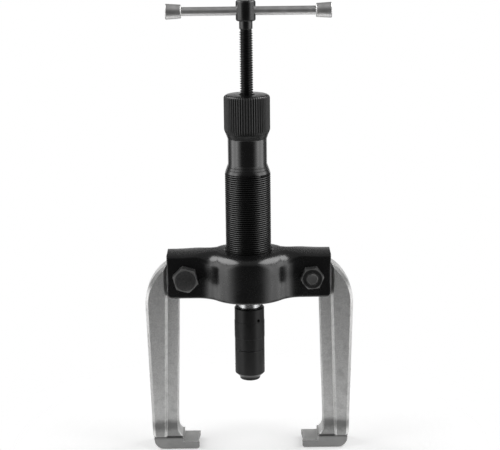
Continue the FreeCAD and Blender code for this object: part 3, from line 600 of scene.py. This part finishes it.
def makeJawBolt(side, name):
    b = jawBolt
    count = b["segments"]
    wing = yokeForging["wingHalfDepth"]
    seat = wing + hexSeat["gap"]
    end = min(-pivotHigh.y, pivotLow.y)
    root = b["thread"]["diameter"] / 2 - b["thread"]["endDrop"]
    bm = bmesh.new()
    addColumns(bm, threadColumns(b["thread"], end, -wing, count), len(b["thread"]["shape"]))
    (inner, outer), dishTop = b["dishEdge"], end + b["endDish"]
    addColumns(bm, [[(0, dishTop), (root - inner, dishTop), (root - outer, end), (root, end)]] * count)
    columns = []
    for index in range(count):
        head = hexProfile(b, fullTurn * index / count + math.pi / 6, seat, seat + b["headHeight"])
        columns.append([(root, -wing), (b["shank"], -wing), (b["shank"], seat), *head, (0, seat + b["headHeight"])])
    addColumns(bm, columns)
    bolt = finishMesh(bm, name)
    markChamfers(bolt, seat)
    for face in bolt.data.polygons:
        if face.center.z < end + b["endDish"] * 1.5 and face.normal.z < -steepFacing:
            face.material_index = 1
    layForward(bolt, b["turn"], side, side < 0)
    return bolt


def makeJawNut(side, name):
    n = jawNut
    low = yokeForging["wingHalfDepth"] + hexSeat["gap"]
    high = low + n["height"]
    sink, hole = n["countersink"], n["hole"]
    columns = []
    for index in range(n["segments"]):
        outside = hexProfile(n, fullTurn * index / n["segments"] + math.pi / 6, low, high)
        inside = [(hole + sink, high), (hole, high - sink), (hole, low + sink), (hole + sink, low)]
        columns.append([*outside, *inside, outside[0]])
    bm = bmesh.new()
    addColumns(bm, columns)
    nut = finishMesh(bm, name)
    markChamfers(nut, low)
    for face in nut.data.polygons:
        if face.center.z > high - sink and face.normal.z > flatFacing:
            face.material_index = 2
    layForward(nut, n["turn"], side, side > 0)
    return nut


fasteners = []
for label, side in (("left", -1), ("right", 1)):
    for kind, build in (("bolt", makeJawBolt), ("nut", makeJawNut)):
        piece = build(side, "pivot_" + kind + "_" + label)
        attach(piece, "yoke")
        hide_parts("jaw_" + kind + "_" + label)
        fasteners.append(piece)
print("pivot bolts and nuts:", len(fasteners))


# return spring, squeezed between the piston and the gland nut

springLow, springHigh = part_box("return_spring")
returnCoil = {
    "wire": 2.4 * mm,
    "turns": 7,
    "closedTurns": 1.0,  # turns that lie close at each end
    "closedPitch": 2.5 * mm,
    "endFlat": 0.6 * mm,  # how much of the wire is ground away at each end
    "stepsPerTurn": 40, "sides": 12,
    "travel": 9.0 * mm,  # stroke of the ram, which shortens the coil
}


def makeCoil():
    c = returnCoil
    wire = c["wire"] / 2
    middle = springHigh.x - wire
    low, high = springLow.z + wire - c["endFlat"], springHigh.z - wire + c["endFlat"]
    closed = c["closedTurns"] * c["closedPitch"]
    openPitch = (high - low - 2 * closed) / (c["turns"] - 2 * c["closedTurns"])
    count = c["turns"] * c["stepsPerTurn"]
    bm = bmesh.new()
    rings = []
    for index in range(count + 1):
        turn = index / c["stepsPerTurn"]
        middleTurns = min(max(turn - c["closedTurns"], 0.0), c["turns"] - 2 * c["closedTurns"])
        z = low + (turn - middleTurns) * c["closedPitch"] + middleTurns * openPitch
        angle = fullTurn * turn
        ring = []
        for side in range(c["sides"]):
            around = fullTurn * side / c["sides"]
            r, rise = middle + wire * math.cos(around), z + wire * math.sin(around)
            ring.append(bm.verts.new((r * math.cos(angle), r * math.sin(angle),
                                      min(springHigh.z, max(springLow.z, rise)))))
        rings.append(ring)
    for here, there in zip(rings, rings[1:]):
        for side in range(c["sides"]):
            after = (side + 1) % c["sides"]
            bm.faces.new([here[side], there[side], there[after], here[after]])
    bm.faces.new(rings[0])
    bm.faces.new(rings[-1][::-1])
    return finishMesh(bm, "return_coil")


coil = makeCoil()
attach(coil, "return_spring")
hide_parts("return_spring")
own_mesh(coil)
print("return coil:", len(coil.data.polygons), "faces")


forging = makeYoke()
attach(forging, "yoke")
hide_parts("yoke")
print("yoke:", len(forging.data.polygons), "faces")


# node helpers and shader groups

def setInput(tree, socket, value):
    # the value is a number, a color or the output of another node
    if isinstance(value, bpy.types.NodeSocket):
        tree.links.new(value, socket)
    else:
        socket.default_value = value


def addNode(tree, kind, inputs=None, **settings):
    node = tree.nodes.new(kind)
    for key, value in settings.items():
        setattr(node, key, value)
    for label, value in (inputs or {}).items():
        setInput(tree, node.inputs[label], value)
    return node


def mathNode(tree, operation, *values, clamp=False):
    # works through the values from the left
    result = values[0]
    for value in values[1:] or (0.0,):
        node = addNode(tree, "ShaderNodeMath", {0: result, 1: value}, operation=operation, use_clamp=clamp)
        result = node.outputs[0]
    return result


def times(tree, *values):
    return mathNode(tree, "MULTIPLY", *values)


def spread(tree, value, low, high, newLow=0.0, newHigh=1.0, curve="LINEAR"):
    node = addNode(tree, "ShaderNodeMapRange", {
        "Value": value, "From Min": low, "From Max": high, "To Min": newLow, "To Max": newHigh},
        interpolation_type=curve)
    return node.outputs["Result"]


def rising(tree, value, reach, full=1.0):
    # 0 below the reach, full above it, and a soft climb within
    return spread(tree, value, *reach, 0.0, full, "SMOOTHSTEP")


def falling(tree, value, reach, full=1.0):
    return spread(tree, value, *reach, full, 0.0, "SMOOTHSTEP")


def placeOn(tree, kind="Object"):
    # a place on the piece, or the way its surface faces ("Normal")
    return addNode(tree, "ShaderNodeTexCoord").outputs[kind]


def splitPlace(tree, kind="Object"):
    return addNode(tree, "ShaderNodeSeparateXYZ", {0: placeOn(tree, kind)}).outputs


def newGroup(name, inputs, outputs):
    # every input and output is a plain number
    group = bpy.data.node_groups.new(name, "ShaderNodeTree")
    for label, value in inputs.items():
        socket = group.interface.new_socket(name=label, in_out="INPUT", socket_type="NodeSocketFloat")
        socket.default_value = value
    for label in outputs:
        group.interface.new_socket(name=label, in_out="OUTPUT", socket_type="NodeSocketFloat")
    return group, group.nodes.new("NodeGroupInput").outputs, group.nodes.new("NodeGroupOutput").inputs


def makeSteelGrain():
    # two sizes of speckle, given in mm: a fine grain and soft patches
    group, given, result = newGroup("steelGrain", {"Grain Size": 0.6, "Patch Size": 12.0}, ["Grain", "Patches"])
    place = placeOn(group)
    for label, size, detail, roughness in (("Grain", "Grain Size", 3.0, 0.7), ("Patches", "Patch Size", 4.0, 0.6)):
        noise = addNode(group, "ShaderNodeTexNoise", {
            "Vector": place, "Scale": mathNode(group, "DIVIDE", 1000.0, given[size]),
            "Detail": detail, "Roughness": roughness})
        group.links.new(noise.outputs["Fac"], result[label])
    return group


def makeTurnedLines():
    # lathe lines round Z, or round X when Around X is 1, with their spacing in mm
    group, given, result = newGroup("turnedLines", {"Spacing": 0.4, "Around X": 0.0}, ["Lines"])
    parts = splitPlace(group)
    upward = times(group, parts["Z"], mathNode(group, "SUBTRACT", 1.0, given["Around X"]))
    place = mathNode(group, "ADD", times(group, parts["X"], given["Around X"]), upward)
    noise = addNode(group, "ShaderNodeTexNoise", {
        "W": place, "Scale": mathNode(group, "DIVIDE", 1000.0, given["Spacing"]), "Detail": 2.0, "Roughness": 0.6},
        noise_dimensions="1D")
    group.links.new(noise.outputs["Fac"], result["Lines"])
    return group


def makeEdgeWear():
    # bright where a corner has rubbed, broken up by noise
    group, given, result = newGroup("edgeWear", {"Radius": 0.0006, "Amount": 1.0}, ["Wear"])
    rounded = addNode(group, "ShaderNodeBevel", {"Radius": given["Radius"]}, samples=6)
    plain = addNode(group, "ShaderNodeNewGeometry")
    alike = addNode(group, "ShaderNodeVectorMath", {0: rounded.outputs["Normal"], 1: plain.outputs["Normal"]},
                    operation="DOT_PRODUCT")
    corner = spread(group, alike.outputs["Value"], 0.99, 0.86)
    noise = addNode(group, "ShaderNodeTexNoise", {"Vector": placeOn(group), "Scale": 900.0, "Detail": 3.0})
    broken = spread(group, noise.outputs["Fac"], 0.35, 0.62, 0.25)
    wear = mathNode(group, "MULTIPLY", times(group, corner, broken), given["Amount"], clamp=True)
    group.links.new(wear, result["Wear"])
    return group


steelGrain = makeSteelGrain()
turnedLines = makeTurnedLines()
edgeWear = makeEdgeWear()
print("shader groups built")


# materials

def startTree(name):
    material = bpy.data.materials.new(name)
    material.use_nodes = True
    material.node_tree.nodes.clear()
    return material, material.node_tree


def mixColors(tree, mask, first, second):
    node = addNode(tree, "ShaderNodeMix", {"Factor": mask}, data_type="RGBA")
    for label, value in (("A", first), ("B", second)):
        socket = [s for s in node.inputs if s.name == label and s.type == "RGBA"][0]
        setInput(tree, socket, (*value, 1.0) if isinstance(value, tuple) else value)
    return [s for s in node.outputs if s.type == "RGBA"][0]


def markJaw(tree, look, color, patches):
    parts, facing = splitPlace(tree), splitPlace(tree, "Normal")
    z = parts["Z"]
    # painted shade: the leg darkens towards the foot
    color = mixColors(tree, falling(tree, z, look["legReach"], look["legShade"]), color, look["footShade"])
    # painted light: the leg is made lighter low down, just above the sole
    color = mixColors(tree, falling(tree, z, look["footReach"], look["footLight"]), color, look["wearAndLight"])
    # painted shade: a dark band with uneven edges round the ankle, and the sides of the sole
    height = mathNode(tree, "ADD", mathNode(tree, "SUBTRACT", z, look["waver"] / 2),
                      times(tree, patches, look["waver"]))
    shade = times(tree, rising(tree, height, look["ankleLow"]), falling(tree, height, look["ankleHigh"]))
    shade = mathNode(tree, "ADD", shade, falling(tree, z, look["soleTop"]))
    color = mixColors(tree, shade, color, look["footShade"])
    # painted light: what faces up on the foot is made lighter
    level = times(tree, rising(tree, facing["Z"], look["levelFacing"]), falling(tree, z, look["levelReach"]))
    color = mixColors(tree, level, color, look["wearAndLight"])
    # painted shade: the bevel over the shoulder is darkened between its two worn edges
    aslant = times(tree, rising(tree, mathNode(tree, "ABSOLUTE", facing["Y"]), look["bevelAcross"]),
                   rising(tree, facing["Z"], look["bevelUp"]), rising(tree, z, look["bevelReach"]))
    return mixColors(tree, aslant, color, look["paintedShade"])


def markLedge(tree, look, color):
    # painted shade: the narrow ledge between sole and heel is darkened
    parts = splitPlace(tree)
    beside = rising(tree, mathNode(tree, "ABSOLUTE", parts["X"]), look["ledgeBeside"])
    ledge = times(tree, beside, falling(tree, parts["Z"], look["ledgeTop"]),
                  rising(tree, parts["Z"], look["ledgeFoot"]))
    return mixColors(tree, ledge, color, look["paintedShade"])


def makeMetal(name, look):
    # grain and patches move the color and roughness; lines or grain give the bump
    material, tree = startTree(name)
    group = addNode(tree, "ShaderNodeGroup", node_tree=steelGrain, inputs={
        "Grain Size": look["grain"][0], "Patch Size": look["grain"][1]})
    grain, patches = group.outputs["Grain"], group.outputs["Patches"]
    color = mixColors(tree, spread(tree, grain, 0.3, 0.7), look["dark"], look["light"])
    rough = spread(tree, patches, 0.3, 0.7, *look["roughness"])
    if "patchDark" in look:
        color = mixColors(tree, spread(tree, patches, 0.5, 0.75), color, look["patchDark"])
    # painted shade and painted light on the jaws, by height and facing
    if "footShade" in look:
        color = markJaw(tree, look, color, patches)
    if "wearAndLight" in look:
        group = addNode(tree, "ShaderNodeGroup", node_tree=edgeWear, inputs={
            "Radius": look["wear"][0], "Amount": look["wear"][1]})
        wear = group.outputs["Wear"]
        color = mixColors(tree, wear, color, look["wearAndLight"])
        if "wornPolish" in look:
            rough = mathNode(tree, "SUBTRACT", rough, times(tree, wear, look["wornPolish"]))
    # painted shade on the jaw's ledge
    if "footShade" in look:
        color = markLedge(tree, look, color)
    height = grain
    if "lines" in look:
        spacing, share = look["lines"]
        group = addNode(tree, "ShaderNodeGroup", node_tree=turnedLines, inputs={
            "Spacing": spacing, "Around X": look.get("aroundX", 0.0)})
        height = mathNode(tree, "ADD", times(tree, group.outputs["Lines"], share), times(tree, grain, 1 - share))
    strength, depth = look["bump"]
    bump = addNode(tree, "ShaderNodeBump", {"Strength": strength, "Distance": depth, "Height": height})
    if "rounding" in look:
        soft = addNode(tree, "ShaderNodeBevel", {"Radius": look["rounding"]}, samples=4)
        tree.links.new(soft.outputs["Normal"], bump.inputs["Normal"])
    shader = addNode(tree, "ShaderNodeBsdfPrincipled", {
        "Base Color": color, "Roughness": rough, "Normal": bump.outputs["Normal"],
        "Metallic": look.get("metallic", 0.0), "Specular IOR Level": look.get("specular", 0.5),
        "IOR": look.get("ior", 1.5)})
    addNode(tree, "ShaderNodeOutputMaterial", {"Surface": shader.outputs["BSDF"]})
    return material


def grey(level, blue=None):
    return level, level, level if blue is None else blue


# grain: speckle and patch size in mm; bump: strength and depth in m; wear: radius in m and amount;
# lines: spacing in mm and their share of the bump
finishes = {
    "blackEnamel": {
        "specular": 1.0, "dark": grey(0.0028, 0.0030), "light": grey(0.0048, 0.0051),
        "roughness": (0.23, 0.30), "grain": (0.9, 14.0), "bump": (0.12, 0.00012),
    },
    "blackOxide": {
        "specular": 1.0, "ior": 1.6, "dark": grey(0.0030, 0.0031), "light": grey(0.0052, 0.0054),
        "roughness": (0.18, 0.26), "grain": (0.5, 9.0), "bump": (0.15, 0.00006),
        "wearAndLight": grey(0.08), "wear": (0.0003, 0.4),
    },
    "turnedOxide": {
        "specular": 0.9, "dark": grey(0.0030, 0.0031), "light": grey(0.0056, 0.0058),
        "roughness": (0.22, 0.32), "grain": (0.5, 9.0), "bump": (0.2, 0.00005),
        "lines": (0.3, 0.7), "wearAndLight": grey(0.08), "wear": (0.0003, 0.5),
    },
    # painted shade: the darkest oxide, for the spindle thread's grooves and the grub screw down its hole
    "recessShadeOxide": {
        "specular": 0.15, "dark": grey(0.0016), "light": grey(0.0030, 0.0031),
        "roughness": (0.45, 0.60), "grain": (0.5, 9.0), "bump": (0.1, 0.00004),
    },
    # painted highlight: a lighter oxide for the spindle thread's crests
    "crestHighlightOxide": {
        "specular": 1.0, "ior": 1.62, "dark": grey(0.004, 0.0041), "light": grey(0.009, 0.0092),
        "roughness": (0.24, 0.32), "grain": (0.5, 9.0), "bump": (0.08, 0.00004),
    },
    "screwOxide": {
        "specular": 0.3, "dark": grey(0.0035, 0.0036), "light": grey(0.0065, 0.0067),
        "roughness": (0.26, 0.36), "grain": (0.5, 9.0), "bump": (0.15, 0.00004),
    },
    "knurlOxide": {
        "dark": grey(0.003), "light": grey(0.007, 0.0072),
        "roughness": (0.30, 0.42), "grain": (0.5, 9.0), "bump": (0.3, 0.00006),
        "wearAndLight": grey(0.07), "wear": (0.0003, 0.6),
    },
    "blackBolt": {
        "dark": grey(0.008), "light": grey(0.078),
        "roughness": (0.34, 0.48), "grain": (1.2, 5.0), "bump": (0.4, 0.00010),
        "wearAndLight": grey(0.42, 0.41), "wear": (0.0006, 1.0),
    },
    "nutFace": {
        "specular": 0.3, "dark": grey(0.005), "light": grey(0.030),
        "roughness": (0.36, 0.50), "grain": (0.9, 4.0), "bump": (0.4, 0.00008),
    },
    "bareChamfer": {
        "specular": 0.8, "dark": grey(0.055, 0.054), "light": grey(0.15, 0.148),
        "roughness": (0.30, 0.42), "grain": (0.6, 3.0), "bump": (0.3, 0.00006),
        "wearAndLight": grey(0.30, 0.295), "wear": (0.0004, 0.8),
    },
    "forgedSteel": {
        "metallic": 1.0, "dark": grey(0.62, 0.615), "light": grey(0.96, 0.95),
        "roughness": (0.44, 0.56), "grain": (0.8, 7.0), "bump": (0.55, 0.00012),
        # the light wear colour is real edge wear, and on the jaws it is also painted light
        "patchDark": grey(0.58, 0.575), "wearAndLight": grey(0.97, 0.96), "wear": (0.0008, 1.0),
        "wornPolish": 0.20, "rounding": 0.0007,
        # painted shade: these dark colours darken the leg towards the foot, round the ankle, on the sole, on the
        # shoulder bevel and on the ledge
        "footShade": grey(0.29, 0.287), "paintedShade": grey(0.22, 0.218),
        # pairs from here on are where a mark fades in or out: heights in metres, facings from 0 to 1
        "legShade": 0.45, "legReach": (0.03, 0.13), "footLight": 0.35, "footReach": (0.0105, 0.0190),
        "soleTop": (0.0098, 0.01078), "ankleLow": (0.0135, 0.0195), "ankleHigh": (0.0215, 0.0260), "waver": 0.008,
        "levelFacing": (0.80, 0.97), "levelReach": (0.020, 0.030),
        "bevelAcross": (0.30, 0.45), "bevelUp": (0.10, 0.35), "bevelReach": (0.10, 0.12),
        "ledgeBeside": (0.0575, 0.0595), "ledgeTop": (0.0107, 0.0113), "ledgeFoot": (0.0086, 0.0092),
    },
    "satinNickel": {
        "metallic": 1.0, "dark": (0.84, 0.835, 0.83), "light": (0.94, 0.935, 0.93),
        "roughness": (0.34, 0.46), "grain": (0.3, 6.0), "bump": (0.25, 0.00003),
        "lines": (0.25, 0.8), "aroundX": 1.0,
    },
    "groundChrome": {
        "metallic": 1.0, "dark": (0.82, 0.83, 0.84), "light": (0.92, 0.93, 0.94),
        "roughness": (0.22, 0.30), "grain": (0.5, 8.0), "bump": (0.1, 0.00001), "lines": (0.2, 0.9),
    },
    "darkSteel": {
        "specular": 0.45, "dark": grey(0.004, 0.0042), "light": grey(0.009, 0.0093),
        "roughness": (0.30, 0.40), "grain": (0.4, 6.0), "bump": (0.3, 0.00004),
        "lines": (0.35, 0.7), "wearAndLight": grey(0.12), "wear": (0.0003, 0.6),
    },
    "groundSteel": {
        "metallic": 1.0, "dark": grey(0.52, 0.53), "light": grey(0.64, 0.65),
        "roughness": (0.15, 0.22), "grain": (0.3, 5.0), "bump": (0.1, 0.00002), "lines": (0.2, 0.9),
    },
    "oiledSpring": {
        "metallic": 0.9, "dark": grey(0.16, 0.17), "light": grey(0.26, 0.27),
        "roughness": (0.22, 0.34), "grain": (0.4, 5.0), "bump": (0.2, 0.00003),
    },
    "sealRubber": {
        "dark": grey(0.014), "light": grey(0.028),
        "roughness": (0.55, 0.75), "grain": (0.3, 3.0), "bump": (0.3, 0.00004),
    },
    "sealPlastic": {
        "dark": (0.60, 0.58, 0.52), "light": (0.72, 0.70, 0.64),
        "roughness": (0.40, 0.55), "grain": (0.4, 4.0), "bump": (0.2, 0.00003),
    },
}
materials = {name: makeMetal(name, look) for name, look in finishes.items()}

nodeFinishes = {
    "blackEnamel": "yoke",
    "forgedSteel": "jaw_right jaw_left",
    "blackBolt": "jaw_bolt_right jaw_bolt_left jaw_nut_right jaw_nut_left",
    "blackOxide": "hydraulic_body gland_nut pressure_screw",
    # painted shade: the grub screw sits down its hole and gets the darkest oxide
    "recessShadeOxide": "grub_screw",
    "darkSteel": "extension_sleeve center_tip center_pin",
    "satinNickel": "tommy_bar tommy_knob_right tommy_knob_left",
    "groundChrome": "ram",
    "groundSteel": "thrust_ball plunger",
    "oiledSpring": "return_spring",
    "sealRubber": "plunger_seal ram_seal tip_retaining_ring",
    "sealPlastic": "rod_wiper plunger_backup_ring ram_backup_ring",
}
for finish, names in nodeFinishes.items():
    for name in names.split():
        nodes[name].data.materials.clear()
        nodes[name].data.materials.append(materials[finish])
pieceFinishes = [
    (body, ("blackOxide", "crestHighlightOxide", "knurlOxide", "recessShadeOxide")), (screw, ("turnedOxide", "screwOxide")),
    (forging, ("blackEnamel",)), (coil, ("oiledSpring",)),
] + [(piece, ("blackBolt", "bareChamfer", "nutFace")) for piece in fasteners]
for piece, names in pieceFinishes:
    for name in names:
        piece.data.materials.append(materials[name])
print("materials:", len(materials))


# floor, backdrop, lamps and camera

studio = {
    "floorRadius": 0.26, "floorFade": (0.125, 0.25), "floorDrop": 0.0002, "floorGrey": 0.86,
    "floorLift": 0.30,  # how far the floor is lifted towards white
    "roomLevel": 0.045, "ceilingLevel": 0.16, "backLevel": 0.05, "shoulderLevel": 0.42, "frontLevel": 1.0,
    # pairs are where a light fades in or out: from 0 (level) to 1 (up), or from -1 (front) to 1 (back)
    "ceilingReach": (0.35, 0.80), "sideReach": (0.45, 0.75), "backReach": (0.2, 0.6),
    "shoulderReach": ((-0.1, 0.05), (0.2, 0.65)), "frontReach": ((-0.82, -0.44), (-0.46, -0.30)),
    "backdropReach": (0.75, 0.9), "backdropTop": (0.12, 0.18),
    "lowerLamp": {"power": 1.95, "width": 0.68, "height": 0.75, "azimuth": 83.5, "distance": 0.86, "level": 0.205,
                  "lean": 0.0},
    "upperLamp": {"power": 6.6, "width": 1.05, "height": 0.60, "azimuth": 95.0, "distance": 0.75, "level": 0.98,
                  "lean": 46.0},
    "cameraDistance": 1.177, "cameraTilt": 14.0, "aimHeight": 0.1957, "yaw": 0.0716, "roll": 0.70,
    "lens": 100.8, "sensorWidth": 36.0, "clipStart": 0.05,
}


def makeWorld():
    s = studio
    world = bpy.data.worlds.new("studio")
    bpy.context.scene.world = world
    world.use_nodes = True
    tree = world.node_tree
    tree.nodes.clear()
    parts = splitPlace(tree, "Generated")
    y, steep = parts["Y"], mathNode(tree, "ABSOLUTE", parts["Z"])
    room = spread(tree, steep, *s["ceilingReach"], s["roomLevel"], s["ceilingLevel"], "SMOOTHSTEP")
    # soft light from beside, behind and before the object, only near its own level
    (start, stop), (frontStart, frontStop) = s["shoulderReach"], s["frontReach"]
    beside = times(tree, rising(tree, y, start, s["shoulderLevel"]), falling(tree, y, stop))
    behind = rising(tree, y, s["backReach"], s["backLevel"])
    before = times(tree, rising(tree, y, frontStart, s["frontLevel"]), falling(tree, y, frontStop))
    sides = times(tree, mathNode(tree, "ADD", beside, behind, before), falling(tree, steep, s["sideReach"]))
    # the white backdrop shows directly, through clear things, and in metal where it stands behind
    backdrop = times(tree, rising(tree, y, s["backdropReach"]), falling(tree, parts["Z"], s["backdropTop"]))
    path = addNode(tree, "ShaderNodeLightPath").outputs
    seen = mathNode(tree, "MAXIMUM", path["Is Camera Ray"], path["Is Transmission Ray"],
                    times(tree, path["Is Glossy Ray"], backdrop))
    mix = addNode(tree, "ShaderNodeMix", {"Factor": seen, "A": mathNode(tree, "ADD", room, sides), "B": 1.0},
                  data_type="FLOAT")
    back = addNode(tree, "ShaderNodeBackground", {"Color": (1, 1, 1, 1), "Strength": mix.outputs["Result"]})
    addNode(tree, "ShaderNodeOutputWorld", {0: back.outputs[0]})


def makeFloor():
    bm = bmesh.new()
    bmesh.ops.create_circle(bm, cap_ends=True, segments=96, radius=studio["floorRadius"])
    floor = finishMesh(bm, "floor")
    floor.location.z = -studio["floorDrop"]
    material, tree = startTree("paleFloor")
    matt = addNode(tree, "ShaderNodeBsdfDiffuse", {"Color": (*[studio["floorGrey"]] * 3, 1)})
    path = addNode(tree, "ShaderNodeLightPath").outputs
    seen = mathNode(tree, "MAXIMUM", path["Is Camera Ray"], path["Is Transmission Ray"], path["Is Glossy Ray"])
    glow = addNode(tree, "ShaderNodeEmission", {"Strength": times(tree, seen, studio["floorLift"])})
    lifted = addNode(tree, "ShaderNodeAddShader", {0: matt.outputs[0], 1: glow.outputs[0]})
    clear = addNode(tree, "ShaderNodeBsdfTransparent")
    length = addNode(tree, "ShaderNodeVectorMath", {0: placeOn(tree)}, operation="LENGTH")
    fade = rising(tree, length.outputs["Value"], studio["floorFade"])
    mix = addNode(tree, "ShaderNodeMixShader", {0: fade, 1: lifted.outputs[0], 2: clear.outputs[0]})
    addNode(tree, "ShaderNodeOutputMaterial", {"Surface": mix.outputs[0]})
    floor.data.materials.append(material)


def addLamp(name, place, aim, s):
    data = bpy.data.lights.new(name, "AREA")
    data.shape = "RECTANGLE"
    data.size, data.size_y = s["width"], s["height"]
    data.energy = s["power"]
    lamp = addObject(name, data)
    lamp.location = place
    lamp.rotation_euler = (aim - place).to_track_quat("-Z", "Y").to_euler()
    lamp.visible_camera = False


def makeLamps():
    # a strong softbox high on each side, a weaker one below it
    for label in ("lowerLamp", "upperLamp"):
        s = studio[label]
        angle, lean = math.radians(s["azimuth"]), math.radians(s["lean"])
        for name, side in ((label + "Left", -1), (label + "Right", 1)):
            place = Vector((side * s["distance"] * math.sin(angle), -s["distance"] * math.cos(angle), s["level"]))
            aim = Vector((0, 0, s["level"] - s["distance"] * math.tan(lean)))
            addLamp(name, place, aim, s)


def makeCamera():
    data = bpy.data.cameras.new("camera")
    data.lens = studio["lens"]
    data.sensor_width = studio["sensorWidth"]
    data.clip_start = studio["clipStart"]
    camera = addObject("camera", data)
    tilt = math.radians(studio["cameraTilt"])
    camera.location = (0, -studio["cameraDistance"] * math.cos(tilt),
                       studio["aimHeight"] + studio["cameraDistance"] * math.sin(tilt))
    turn = Matrix.Rotation(-math.radians(studio["yaw"]), 4, "Z") @ Matrix.Rotation(math.pi / 2 - tilt, 4, "X")
    turn = turn @ Matrix.Rotation(-math.radians(studio["roll"]), 4, "Z")
    camera.rotation_euler = turn.to_euler()
    bpy.context.scene.camera = camera


makeWorld()
makeFloor()
makeLamps()
makeCamera()
bpy.context.scene.view_settings.view_transform = "Standard"
print("studio ready")
